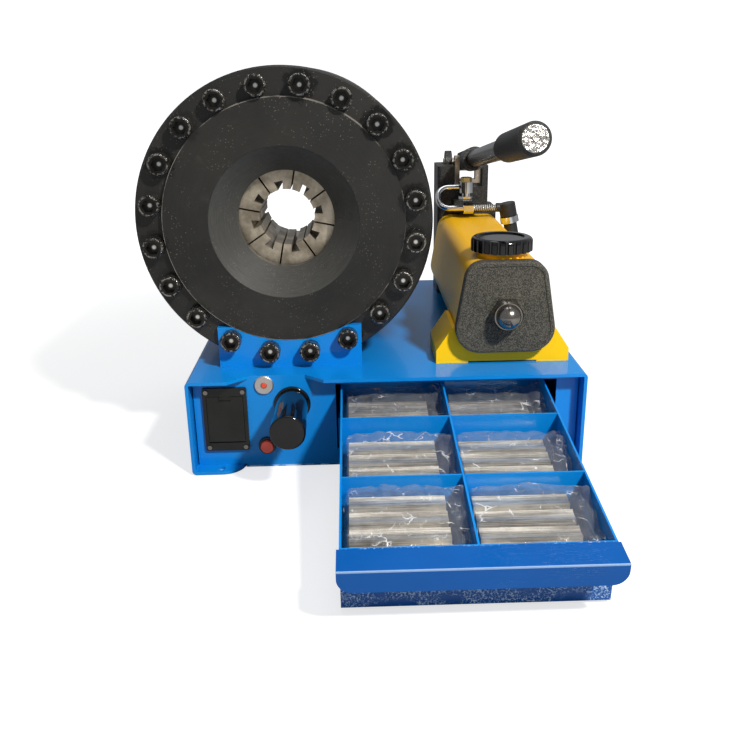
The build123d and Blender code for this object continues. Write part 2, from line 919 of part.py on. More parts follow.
def make_dial_collar():
    """Bezel and barrel of the setting dial, bored for its spindle."""
    collar = rod_y(collar_radius, panel_y - collar_rise, panel_y, dial_x, dial_z)
    collar = fillet(collar.edges().group_by(Axis.Y)[0], collar_edge)
    collar += rod_y(barrel_radius, panel_y - barrel_length, panel_y, dial_x, dial_z)
    rear = panel_back_y + barrel_tail
    collar += rod_y(barrel_radius - running_gap, panel_y, rear, dial_x, dial_z)
    return collar - rod_y(spindle_radius + axle_fit, panel_y - barrel_length - 1, rear + 1, dial_x, dial_z)


def make_dial_knob():
    start = panel_y - knob_end
    knob = rod_y(knob_radius, start, panel_y - barrel_length - running_gap, dial_x, dial_z)
    knob = fillet(knob.edges().group_by(Axis.Y)[0], knob_edge)
    return knob - rod_y(spindle_radius + running_gap, start + knob_wall, panel_y, dial_x, dial_z)


def make_dial_spindle():
    front = panel_y - knob_end + knob_wall + spindle_stroke
    return rod_y(spindle_radius, front, panel_back_y + spindle_tail, dial_x, dial_z)


def make_button_bezel():
    ring = rod_y(button_ring_radius, panel_y - button_ring_rise, panel_y, button_x, button_z)
    front = panel_y - button_ring_rise
    rear = panel_back_y + button_tube_length
    ring = fillet(ring.edges().group_by(Axis.Y)[0], button_edge)
    ring += rod_y(button_tube_radius - axle_fit, panel_y, rear, button_x, button_z)
    return ring - rod_y(button_cap_radius + running_gap, front - 1, panel_y + button_depth, button_x, button_z)


def make_button_cap():
    back = panel_y + button_depth - button_travel - running_gap
    cap = rod_y(button_cap_radius, panel_y - button_rise, back, button_x, button_z)
    return fillet(cap.edges().group_by(Axis.Y)[0], button_edge)


# ---- hand pump ----
def tank_outline(border=0.0):
    """Rounded trapezoid of the tank in X and Z, widened by a border."""
    corners = (
        (pump_x - tank_bottom_half, tank_bottom),
        (pump_x + tank_bottom_half, tank_bottom),
        (pump_x + tank_top_half, tank_top),
        (pump_x - tank_top_half, tank_top),
    )
    outline = make_face(Polyline(*corners, close=True))
    outline = fillet(outline.vertices().group_by(Axis.Y)[0], tank_bottom_corner)
    outline = fillet(outline.vertices().group_by(Axis.Y)[-1], tank_top_corner)
    return offset(outline, amount=border) if border else outline


def make_oil_tank():
    tank = prism_y(tank_outline(), pump_front, pump_back)
    tank -= prism_y(tank_outline(-tank_wall), pump_front - 1, pump_back + 1)
    tank += rod_z(neck_radius, tank_top - tank_wall, tank_top + neck_height, pump_x, filler_y)
    return tank - rod_z(filler_bore, tank_top - 2 * tank_wall, tank_top + neck_height + 1, pump_x, filler_y)


def make_tank_end_cap():
    """Cast end cap with a rounded edge and a raised rim round its face."""
    face = pump_front - cap_length
    cap = prism_y(tank_outline(cap_border), face, pump_front)
    cap = fillet(cap.edges().group_by(Axis.Y)[0], cap_edge)
    cap -= prism_y(tank_outline(cap_border - cap_rim), face - 1, face + cap_recess)
    return cap - rod_y(tie_rod_radius + running_gap, face - 1, pump_front + 1, pump_x, nut_z)


def make_tie_rod():
    return rod_y(tie_rod_radius, pump_front - cap_length - nut_hex_length + 1, pump_back, pump_x, nut_z)


def make_acorn_nut():
    """Domed hexagon nut on the tie rod, facing the front."""
    nut = hex_bar(nut_across_flats, nut_hex_length)
    cone = Cone(nut_across_flats / 2 + 5.5, nut_across_flats / 2 - 1.5, nut_hex_length + 2)
    nut &= Pos(0, 0, nut_hex_length / 2) * cone
    nut += Pos(0, 0, nut_hex_length) * Sphere(nut_dome_radius)
    nut -= Cylinder(tie_rod_radius + axle_fit, 2 * nut_hex_length)
    return Pos(pump_x, pump_front - cap_length, nut_z) * Rot(90, 0, 0) * nut


def make_filler_cap():
    """Screw cap on the filler neck, with a dished top, a rounded edge and ribs between flutes."""
    low = tank_top + neck_height
    top = low + filler_height
    cap = rod_z(filler_radius, low, top, pump_x, filler_y)
    cap = fillet(cap.edges().group_by(Axis.Z)[-1], filler_edge)
    cap -= rod_z(filler_dish_radius, top - filler_dish, top + 1, pump_x, filler_y)
    for index in range(filler_flutes):
        angle = radians(index * 360 / filler_flutes)
        x = pump_x + filler_radius * cos(angle)
        y = filler_y + filler_radius * sin(angle)
        cap -= rod_z(filler_flute_radius, low - 1, top + 1, x, y)
    return cap + rod_z(filler_bore - running_gap, low - neck_height, low, pump_x, filler_y)


def foot_outline(border=0.0):
    halves = (
        (foot_half_width - border, base_height),
        (foot_half_width - border, base_height + foot_upright),
        (foot_top_half - border, base_height + foot_top_rise - border),
    )
    right = [(pump_x + half, z) for half, z in halves]
    left = [(pump_x - half, z) for half, z in reversed(halves)]
    return make_face(Polyline(*right, *left, close=True))


def make_tank_foot():
    """Bent saddle under the front of the tank, closed by a front plate."""
    back = pump_front + foot_length
    saddle = prism_y(foot_outline(), pump_front + running_gap, back)
    saddle -= prism_y(foot_outline(foot_wall), pump_front + foot_wall, back + 1)
    saddle -= prism_y(tank_outline(running_gap), pump_front - 1, back + 1)
    relief = foot_relief_width / 2
    saddle -= block(
        (pump_x - relief, pump_x + relief),
        (pump_front - 1, pump_front + 2 * foot_wall),
        (base_height - 1, base_height + foot_relief_height),
    )
    return saddle


def make_pump_body():
    """Cast pump block: a wide foot, an outlet ledge and two cheeks that carry the lever's pin."""
    back = pump_back + body_length
    side = (body_right + body_shoulder_right) / 2
    body = block((body_left, body_right), (pump_back, back), (base_height, cheek_top))
    body = fillet(body.edges().filter_by(Axis.Z), body_corner)
    foot = block((side, body_shoulder_right), (pump_back, back), (base_height, body_shoulder))
    body += fillet(foot.edges().filter_by(Axis.Z).group_by(Axis.X)[-1], body_corner)
    body += block((body_right - body_corner, side), (pump_back, back), (base_height, body_shoulder))
    pocket = (pump_x - ear_inner_half, pump_x + ear_inner_half)
    body -= block(pocket, (pump_back - 1, back + 1), (body_top, cheek_top + 1))
    body += block(
        (fitting_x - ledge_half_width, fitting_x + ledge_half_width),
        (pump_back - ledge_reach, pump_back + body_corner),
        (ledge_bottom, ledge_top),
    )
    for side in (-1, 1):
        span = sorted((pump_x + side * ear_inner_half, pump_x + side * (ear_inner_half + ear_wall)))
        body += rod_x(ear_radius, span[0], span[1], pivot_y, pivot_height)
    pin_reach = ear_inner_half + ear_wall + 3
    body -= rod_x(pin_radius + axle_fit, pump_x - pin_reach, pump_x + pin_reach, pivot_y, pivot_height)
    bore_floor = body_top - plunger_length - plunger_room
    body -= rod_z(plunger_radius + axle_fit, bore_floor, body_top + 1, pump_x, plunger_y)
    face = body_shoulder_right
    body -= rod_x(valve_stem_radius + axle_fit, face - valve_bore_depth, face + 1, valve_y, valve_z)
    return body - rod_y(tie_rod_radius + running_gap, pump_back - 1, pump_back + tie_bore_depth, pump_x, nut_z)


def along_handle(shape):
    """Places a piece drawn along -Y from the origin on the handle's line through the pivot."""
    return Pos(pump_x, pivot_y, pivot_height) * Rot(-handle_angle, 0, 0) * shape


def make_pump_lever():
    """Flat web on the pivot pin, with a slot for the plunger's pin, and a socket for the handle tube."""
    end = web_length + socket_length
    web = block((-web_half_width, web_half_width), (-web_length - 2, 0), (-web_half_height, web_half_height))
    web += rod_x(web_half_height, -web_half_width, web_half_width, 0, 0)
    web += rod_y(socket_radius, -end, -web_length, 0, 0)
    web -= rod_y(handle_radius + running_gap, -end - 1, -web_length - 4, 0, 0)
    web -= rod_x(pin_radius + axle_fit, -web_half_width - 1, web_half_width + 1, 0, 0)
    slot_start = -plunger_offset + link_pin_radius + link_slot_room
    web -= block(
        (-web_half_width - 1, web_half_width + 1),
        (-link_slot_end, slot_start),
        (-link_slot_half_height, link_slot_half_height),
    )
    return along_handle(web)


def make_lever_pin():
    reach = ear_inner_half + ear_wall + 2
    pin = rod_x(pin_radius, pump_x - reach, pump_x + reach, pivot_y, pivot_height)
    return chamfer(pin.edges().filter_by(GeomType.CIRCLE), 0.8)


def make_handle_tube():
    tube = rod_y(handle_radius, -handle_length + plug_rise + 6, -web_length - 5, 0, 0)
    return along_handle(tube - rod_y(handle_radius - handle_wall, -handle_length, -web_length, 0, 0))


def make_handle_grip():
    """Moulded grip sleeve with a tapered neck, turned about the handle's line."""
    start = handle_length - grip_length
    bore = handle_radius + axle_fit
    outline = make_face(
        Polyline(
            (bore, -start),
            (grip_neck_radius, -start),
            (grip_radius, -start - grip_neck_length),
            (grip_radius, -handle_length + 2),
            (grip_radius - 2, -handle_length),
            (plug_radius + axle_fit, -handle_length),
            (plug_radius + axle_fit, -handle_length + 5),
            (bore, -handle_length + 5),
            close=True,
        )
    )
    return along_handle(revolve(outline, Axis.Y))


def make_handle_plug():
    plug = rod_y(plug_radius, -handle_length - plug_rise, -handle_length + 5 - axle_fit, 0, 0)
    return along_handle(fillet(plug.edges().group_by(Axis.Y)[0], 0.8))


def make_plunger():
    """Ground plunger with a fork head and cross pin that runs in the lever's slot."""
    link_z = pivot_height + plunger_offset * tan(radians(handle_angle))
    eye = link_pin_radius + fork_border
    top = link_z + eye
    low = top - fork_height
    plunger = rod_z(plunger_radius, body_top - plunger_length, low + 1, pump_x, plunger_y)
    fork = block(
        (pump_x - fork_half_width, pump_x + fork_half_width), (plunger_y - eye, plunger_y + eye), (low, top)
    )
    slot_half = web_half_width + fork_gap
    slot = (pump_x - slot_half, pump_x + slot_half)
    fork -= block(slot, (plunger_y - eye - 1, plunger_y + eye + 1), (low + fork_base, top + 1))
    plunger += fork
    return plunger + rod_x(link_pin_radius, pump_x - slot_half - 1, pump_x + slot_half + 1, plunger_y, link_z)


def make_release_valve():
    """Knurled knob on a stem at the side of the pump block."""
    face = body_shoulder_right
    start = face + valve_gap
    knob = rod_x(valve_radius, start, start + valve_length, valve_y, valve_z)
    knob = chamfer(knob.edges().filter_by(GeomType.CIRCLE), valve_chamfer)
    return knob + rod_x(valve_stem_radius, face - valve_stem_length, start + 1, valve_y, valve_z)


# ---- oil line ----

def make_outlet_fitting():
    """Banjo fitting on the ledge: hexagon below and an eye round the pipe's end."""
    stack = Pos(0, 0, ledge_top) * hex_bar(fitting_hex, fitting_hex_length)
    stack += rod_z(fitting_neck, ledge_top, eye_height - eye_half, 0, 0)
    stack += rod_z(eye_radius, eye_height - eye_half, eye_height + eye_half, 0, 0)
    return Pos(fitting_x, fitting_y, 0) * stack


def make_banjo_bolt():
    return Pos(fitting_x, fitting_y, eye_height + eye_half) * hex_bar(banjo_hex, banjo_head)


def make_pressure_pipe():
    """Steel pipe that leaves the banjo eye, turns back in a U and ends in the union nut."""
    route = FilletPolyline(
        (fitting_x - eye_radius, fitting_y, eye_height),
        (bend_x, fitting_y, eye_height),
        (bend_x, line_y, line_z),
        (nut_start, line_y, line_z),
        radius=[pipe_bend, pipe_bend],
    )
    profile = Plane(route @ 0, z_dir=route % 0) * Circle(pipe_radius)
    return sweep(profile, route)


def make_pipe_nuts():
    """Union nut between pipe and hose, and the nut under the head's port."""
    union = Pos(nut_start, line_y, line_z) * Rot(0, 90, 0) * hex_bar(union_hex, nut_end - nut_start)
    union -= rod_x(pipe_radius - 1, nut_start - 1, nut_end + 1, line_y, line_z)
    low = port_z - port_nut_length
    port = Pos(*port_entry, low) * hex_bar(port_nut_hex, port_nut_length - running_gap)
    return Compound(children=[union, port - rod_z(port_nut_bore, low - 1, port_z + 1, *port_entry)])


def make_pressure_hose():
    return rod_x(hose_radius, nut_end, elbow_x - elbow_socket, line_y, line_z)


def slanted(shape):
    """Places a piece drawn down -Z from the elbow's top on its slanted axis."""
    return Pos(elbow_x, line_y, elbow_top) * Rot(0, -elbow_slant, 0) * shape


def make_hose_elbow():
    body = slanted(rod_z(elbow_radius, -elbow_length, 0, 0, 0))
    body = chamfer(body.edges().filter_by(GeomType.CIRCLE), 1.0)
    return body + rod_x(elbow_socket_radius, elbow_x - elbow_socket, elbow_x, line_y, line_z)


def make_hose_band():
    return slanted(rod_z(elbow_radius + band_rise, -elbow_length - band_length, -elbow_length, 0, 0))


def make_supply_hose():
    """Rubber hose from the elbow down through the top plate and along the back to the head's port."""
    drop = elbow_length + band_length
    start = (elbow_x + drop * sin(radians(elbow_slant)), line_y, elbow_top - drop * cos(radians(elbow_slant)))
    bend_z = start[2] - (supply_entry[0] - start[0]) / tan(radians(elbow_slant))
    low = supply_low
    rear = back_y - 45
    route = FilletPolyline(
        start,
        (supply_entry[0], line_y, bend_z),
        (supply_entry[0], line_y + 1, low - 2),
        (128, rear - 4, low - 6),
        (30, rear + 2, low - 8),
        (-60, rear - 1, low - 7),
        (port_entry[0] - 2, port_entry[1] + 45, low - 16),
        (*port_entry, low - 18),
        (*port_entry, port_z - port_nut_length),
        radius=[60.0, 24.0, 24.0, 30.0, 30.0, 24.0, 12.0],
    )
    profile = Plane(route @ 0, z_dir=route % 0) * Circle(supply_radius)
    return sweep(profile, route)


def build():
    """Every node of the machine by name."""
    spare_dies, die_bags = make_spare_dies_and_bags()
    nodes = {
        "base_shell": make_base_shell(),
        "front_panel": make_front_panel(),
        "back_panel": make_back_panel(),
        "drawer_rails": make_drawer_rails(),
        "sill_roller": make_sill_roller(),
        "drawer_tray": make_drawer_tray(),
        "drawer_front": make_drawer_front(),
        "long_divider": make_long_divider(),
        "cross_dividers": make_cross_dividers(),
        "spare_dies": spare_dies,
        "die_bags": die_bags,
        "head_flange": make_head_flange(),
        "cylinder": make_cylinder(),
        "piston": make_piston(),
        "piston_seal": make_piston_seal(),
        "flange_screws": make_flange_screws(),
        "bracket_screws": make_bracket_screws(),
        "front_bracket": make_front_bracket(),
        "rear_bracket": make_rear_bracket(),
        "return_springs": make_return_springs(),
        "battery_box": make_battery_box(),
        "battery_door": make_battery_door(),
        "battery_screws": make_battery_screws(),
        "lamp_bezel": make_lamp_bezel(),
        "lamp_lens": make_lamp_lens(),
        "dial_collar": make_dial_collar(),
        "dial_knob": make_dial_knob(),
        "dial_spindle": make_dial_spindle(),
        "button_bezel": make_button_bezel(),
        "button_cap": make_button_cap(),
        "oil_tank": make_oil_tank(),
        "tank_end_cap": make_tank_end_cap(),
        "tie_rod": make_tie_rod(),
        "acorn_nut": make_acorn_nut(),
        "filler_cap": make_filler_cap(),
        "tank_foot": make_tank_foot(),
        "pump_body": make_pump_body(),
        "pump_lever": make_pump_lever(),
        "lever_pin": make_lever_pin(),
        "handle_tube": make_handle_tube(),
        "handle_grip": make_handle_grip(),
        "handle_plug": make_handle_plug(),
        "plunger": make_plunger(),
        "release_valve": make_release_valve(),
        "outlet_fitting": make_outlet_fitting(),
        "banjo_bolt": make_banjo_bolt(),
        "pressure_pipe": make_pressure_pipe(),
        "pipe_nuts": make_pipe_nuts(),
        "pressure_hose": make_pressure_hose(),
        "hose_elbow": make_hose_elbow(),
        "hose_band": make_hose_band(),
        "supply_hose": make_supply_hose(),
    }
    for index in range(die_count):
        nodes[f"master_die_{index + 1}"] = make_master_die(index)
    return nodes


os.makedirs("parts", exist_ok=True)
for name, shape in build().items():
    export_step(shape, f"parts/{name}.step")
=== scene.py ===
"""Looks of a bench hose crimping machine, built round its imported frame. Lengths are in metres.

Order: places read from the frame, shader helpers, places worked out in a finish, colours, finishes,
dressing of the frame's nodes, pieces worked out here, studio.
"""
import json
import math

import bpy
import numpy as np
from mathutils import Matrix, Vector


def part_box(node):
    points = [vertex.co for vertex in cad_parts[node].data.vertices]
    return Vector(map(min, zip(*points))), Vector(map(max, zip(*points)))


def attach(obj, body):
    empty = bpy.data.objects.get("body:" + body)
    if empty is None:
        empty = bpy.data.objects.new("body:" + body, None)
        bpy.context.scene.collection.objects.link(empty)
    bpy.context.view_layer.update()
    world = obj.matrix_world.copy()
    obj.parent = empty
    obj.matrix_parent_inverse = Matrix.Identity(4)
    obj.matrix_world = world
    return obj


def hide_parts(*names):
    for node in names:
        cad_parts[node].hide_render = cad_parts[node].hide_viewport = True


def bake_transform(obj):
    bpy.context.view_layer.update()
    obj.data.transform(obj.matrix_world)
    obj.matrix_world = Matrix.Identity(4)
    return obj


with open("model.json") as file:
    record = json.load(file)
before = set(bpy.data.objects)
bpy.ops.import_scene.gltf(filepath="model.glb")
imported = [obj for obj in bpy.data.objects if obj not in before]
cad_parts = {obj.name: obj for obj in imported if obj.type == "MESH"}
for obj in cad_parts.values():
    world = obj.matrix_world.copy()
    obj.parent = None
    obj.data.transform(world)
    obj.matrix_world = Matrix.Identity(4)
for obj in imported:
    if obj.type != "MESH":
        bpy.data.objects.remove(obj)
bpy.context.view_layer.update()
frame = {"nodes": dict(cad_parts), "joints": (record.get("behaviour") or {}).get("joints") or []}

MM = 0.001

# The head's circles, which no box of the frame gives.
BOLT_COUNT = 20
BOLT_CIRCLE_RADIUS = 114 * MM
BOLT_PITCH = math.tau / BOLT_COUNT
DISC_RADIUS = 104 * MM
MOUTH_RADIUS = 65 * MM


# ---- places read from the frame ----
def middle(node):
    """Centre of a node's box."""
    low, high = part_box(node)
    return (low + high) / 2


head_x, head_z = middle("head_flange").x, middle("head_flange").z
head_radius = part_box("head_flange")[1].x - head_x
flange_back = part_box("head_flange")[1].y
panel_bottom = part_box("front_panel")[0].z
pressure_hose = middle("pressure_hose")
joints = {joint["name"]: joint for joint in frame["joints"]}
drawer_axis = np.array(joints["drawer_slide"]["axis"])
sill = np.array(joints["drawer_tilt"]["pos_m"])
drawer_frame = np.array([(1.0, 0.0, 0.0), drawer_axis, np.cross((1.0, 0.0, 0.0), drawer_axis)])


def vertices(node):
    """A node's vertices at rest, one row each."""
    mesh = frame["nodes"][node].data
    flat = np.empty(len(mesh.vertices) * 3)
    mesh.vertices.foreach_get("co", flat)
    return flat.reshape(-1, 3)


def level(points):
    """Points of the tipped drawer as places across it, along its slide and above its floor, from the sill."""
    return (points - sill) @ drawer_frame.T


def tipped(points):
    """Back from the drawer's own level places."""
    return points @ drawer_frame + sill


# Vertices of the drawer's front this near to its foremost edge belong to that edge.
EDGE_REACH = 2 * MM
drawer_face = level(vertices("drawer_tray"))[:, 1].min()
lip_places = level(vertices("drawer_front"))
lip_front = lip_places[:, 1].min()
lip_top = lip_places[lip_places[:, 1] < lip_front + EDGE_REACH, 2].max()


# ---- shader helpers ----
class Value:
    """A value that a material's nodes work out. Arithmetic on it adds Math nodes."""

    def __init__(self, finish, socket):
        self.finish = finish
        self.socket = socket

    def __add__(self, other):
        return self.finish.maths("ADD", self, other)

    def __sub__(self, other):
        return self.finish.maths("SUBTRACT", self, other)

    def __rsub__(self, other):
        return self.finish.maths("SUBTRACT", other, self)

    def __mul__(self, other):
        return self.finish.maths("MULTIPLY", self, other)

    def __truediv__(self, other):
        return self.finish.maths("DIVIDE", self, other)


class Finish:
    """A material whose pattern is written as expressions on Object coordinates."""

    def __init__(self, name, **constants):
        self.material = bpy.data.materials.new(name)
        self.material.use_nodes = True
        self.tree = self.material.node_tree
        self.surface = self.tree.nodes["Principled BSDF"]
        for label, constant in constants.items():
            self.surface.inputs[label.replace("_", " ")].default_value = constant
        self.place = self.node("TexCoord", output="Object")

    def node(self, kind, settings=None, sockets=None, output=0):
        """Adds a node: its settings first, then the values or links of its sockets."""
        node = self.tree.nodes.new("ShaderNode" + kind)
        for label, setting in (settings or {}).items():
            setattr(node, label, setting)
        for label, value in (sockets or {}).items():
            if isinstance(value, Value):
                self.tree.links.new(value.socket, node.inputs[label])
            else:
                node.inputs[label].default_value = value
        return Value(self, node.outputs[output])

    def maths(self, operation, *values):
        """A Math node's result for one or more values."""
        return self.node("Math", {"operation": operation}, dict(enumerate(values)))

    def polar(self, across, up):
        """Distance sqrt(a^2 + b^2) and angle atan2(b, a) of two values at right angles."""
        return self.maths("SQRT", across * across + up * up), self.maths("ARCTAN2", up, across)

    def axes(self):
        """The X, Y and Z of the place on the object."""
        split = self.node("SeparateXYZ", sockets={0: self.place})
        outputs = split.socket.node.outputs
        return [Value(self, outputs[axis]) for axis in range(3)]

    def vector(self, x, y, z):
        """A vector from three values."""
        return self.node("CombineXYZ", sockets={0: x, 1: y, 2: z})

    def noise(self, scale, detail=3.0, roughness=0.55, vector=None, distortion=0.0):
        """Cloudy noise from 0 to 1, with scale cycles to the metre."""
        sockets = {
            "Vector": vector or self.place,
            "Scale": scale,
            "Detail": detail,
            "Roughness": roughness,
            "Distortion": distortion,
        }
        return self.node("TexNoise", sockets=sockets)

    def stretched(self, x, y, z):
        """The place on the object, scaled along each axis."""
        return self.node("VectorMath", {"operation": "MULTIPLY"}, {0: self.place, 1: (x, y, z)})

    def step(self, value, low, high, to_low=0.0, to_high=1.0):
        """Smooth change from to_low to to_high as a value goes from low to high."""
        settings = {"interpolation_type": "SMOOTHSTEP"}
        return self.node("MapRange", settings, {0: value, 1: low, 2: high, 3: to_low, 4: to_high})

    def fall(self, value, low, high):
        """Smooth change from 1 to 0 as a value goes from low to high."""
        return self.step(value, low, high, 1.0, 0.0)

    def cells(self, scale, feature="F1", vector=None):
        """Distance from the nearest cell's point, or from the nearest edge with DISTANCE_TO_EDGE."""
        sockets = {"Vector": vector or self.place, "Scale": scale}
        return self.node("TexVoronoi", {"feature": feature}, sockets, "Distance")

    def blend(self, factor, first, second):
        """Colour mix: the first colour at 0 and the second at 1."""
        colours = {0: factor}
        for index, colour in ((6, first), (7, second)):
            colours[index] = colour if isinstance(colour, Value) else (*colour, 1.0)
        return self.node("Mix", {"data_type": "RGBA"}, colours, 2)

    def feed(self, **values):
        """Links values to the surface's own sockets."""
        for label, value in values.items():
            self.tree.links.new(value.socket, self.surface.inputs[label.replace("_", " ")])
        return self

    def relief(self, *layers):
        """Bump nodes one after another, each a height in metres."""
        normal = None
        for height in layers:
            sockets = {"Height": height, "Strength": 1.0, "Distance": 1.0}
            if normal:
                sockets["Normal"] = normal
            normal = self.node("Bump", sockets=sockets)
        return self.feed(Normal=normal)


# ---- places of the machine, worked out in a finish ----
def from_head(finish):
    """X and Z from the head's axis."""
    px, _, pz = finish.axes()
    return px - head_x, pz - head_z


def bolt_pattern(finish):
    """Distance from the nearest flange bolt's axis, the angle about it, and a number per bolt.

    The bolt's number is the angle about the head over the pitch, rounded down.
    """
    across, up = from_head(finish)
    index = finish.maths("FLOOR", finish.maths("ARCTAN2", up, across) / BOLT_PITCH)
    centre = (index + 0.5) * BOLT_PITCH
    from_x = across - finish.maths("COSINE", centre) * BOLT_CIRCLE_RADIUS
    from_z = up - finish.maths("SINE", centre) * BOLT_CIRCLE_RADIUS
    return *finish.polar(from_x, from_z), index


def on_front(finish):
    """1 on the head's front half, where the flange bolts are, and 0 behind."""
    return finish.fall(finish.axes()[1], flange_back - 1 * MM, flange_back)


def drawer_places(finish):
    """How far a point lies along the drawer's slide and above the sill, square to the slide."""
    _, py, pz = finish.axes()
    from_y = py - sill[1]
    from_z = pz - sill[2]
    along = from_y * drawer_axis[1] + from_z * drawer_axis[2]
    return along, from_z * drawer_axis[1] - from_y * drawer_axis[2]


def on_drawer_face(finish):
    """1 on the outer face of the drawer's front wall and 0 elsewhere."""
    along, _ = drawer_places(finish)
    on_face = finish.fall(along, drawer_face + 0.4 * MM, drawer_face + 0.8 * MM)
    return on_face * finish.step(along, drawer_face - 0.8 * MM, drawer_face - 0.4 * MM)


def lip_edge_highlight(finish):
    """1 on the front edge of the drawer's ledge, which gets a painted highlight, and 0 elsewhere."""
    along, above = drawer_places(finish)
    near = finish.fall(along, lip_front + 0.7 * MM, lip_front + 1.3 * MM)
    return near * finish.step(above, lip_top - 1.3 * MM, lip_top - 0.7 * MM)


def scuff_web(finish):
    """Short pale rubs in a ragged web on the drawer's front wall."""
    px, py, pz = finish.axes()
    warped = finish.noise(70.0, 3.0)
    wander = finish.vector(px + warped * (14 * MM), py, pz + finish.noise(95.0, 3.0) * (10 * MM))
    web = finish.fall(finish.cells(190.0, "DISTANCE_TO_EDGE", wander), 0.0, 0.10)
    fine = finish.fall(finish.cells(420.0, "DISTANCE_TO_EDGE", wander), 0.0, 0.10)
    patches = finish.step(finish.noise(38.0, 3.0), 0.40, 0.56)
    grain = finish.step(finish.noise(700.0, 2.0), 0.42, 0.58)
    return finish.maths("MAXIMUM", web, fine * 0.7) * patches * grain * on_drawer_face(finish)


# ---- colours ----
BLUE = (0.003, 0.235, 0.680)
BLUE_DEEP = (0.002, 0.205, 0.630)
# Pale blue of rubbed paint, also used for the painted highlight on the drawer ledge's front edge.
BLUE_RUBBED_AND_HIGHLIGHT = (0.45, 0.62, 0.85)
# Darker blue on the drawer's front wall: painted shade.
SHADED_FACE_BLUE = (0.006, 0.085, 0.34)
# The drawer front's darker blues stand in for the shade that falls across it: painted shade.
SHADED_COBALT = (0.0005, 0.088, 0.360)
SHADED_COBALT_DEEP = (0.0005, 0.076, 0.320)
YELLOW = (0.93, 0.52, 0.008)
YELLOW_DEEP = (0.86, 0.46, 0.008)
YELLOW_RUBBED = (0.95, 0.72, 0.30)
LEMON = (0.97, 0.575, 0.002)
LEMON_DEEP = (0.94, 0.540, 0.002)
LEMON_RUBBED = (0.97, 0.80, 0.30)
STEEL = (0.62, 0.57, 0.49)
STEEL_DARK = (0.36, 0.32, 0.27)
DIE_STEEL = (0.66, 0.58, 0.46)
DIE_DARK = (0.30, 0.255, 0.19)
BAR_STEEL = (0.82, 0.76, 0.66)
BAR_DARK = (0.26, 0.23, 0.19)
# Pale and dark colours of the textured blacks: the pale ones paint the grain tops as a painted highlight.
POWDER_HIGHLIGHT = (0.150, 0.142, 0.112)
POWDER_DARK = (0.012, 0.011, 0.009)
CASTING_HIGHLIGHT = (0.035, 0.034, 0.032)
CASTING_DARK = (0.008, 0.008, 0.008)
RUBBER_HIGHLIGHT = (0.045, 0.043, 0.040)
RUBBER_DARK = (0.012, 0.012, 0.011)
HEAD_BLACK = (0.0060, 0.0058, 0.0050)
# Painted sheen on the head's black.
HEAD_PAINTED_SHEEN = (0.0200, 0.0188, 0.0162)
HEAD_SMEAR = (0.055, 0.050, 0.043)
HEAD_DUST = (0.26, 0.24, 0.20)
# Paler grey in the head's mouth cone: a painted shine.
CONE_PAINTED_SHINE = (0.085, 0.085, 0.080)
OIL_BLACK = (0.003, 0.003, 0.003)
# Pale line on the raised disc's edge: a painted highlight.
DISC_EDGE_GLINT = (0.30, 0.28, 0.25)
SCREW_GRIME = (0.055, 0.052, 0.048)
SCREW_DARK = (0.014, 0.014, 0.014)
# Pale screw rims: partly wear, partly a painted highlight.
SCREW_RIM_WEAR_AND_GLINT = (0.50, 0.47, 0.42)
# A painted glint in each screw socket.
SOCKET_GLINT = (0.92, 0.90, 0.84)
DING_DARK = (0.10, 0.09, 0.08)
NICK_DARK = (0.08, 0.07, 0.06)
FILM_GREY = (0.42, 0.44, 0.46)
# White on the film's creases and glints: a painted highlight.
FILM_CREASE_HIGHLIGHT = (0.97, 0.98, 1.0)
BRAID_WIRE = (0.92, 0.90, 0.86)
# Dark between the braid's beads: painted shade.
BRAID_GAP_SHADE = (0.07, 0.065, 0.06)
FOIL_SILVER = (0.86, 0.83, 0.78)
FOIL_SHADE = (0.14, 0.13, 0.115)


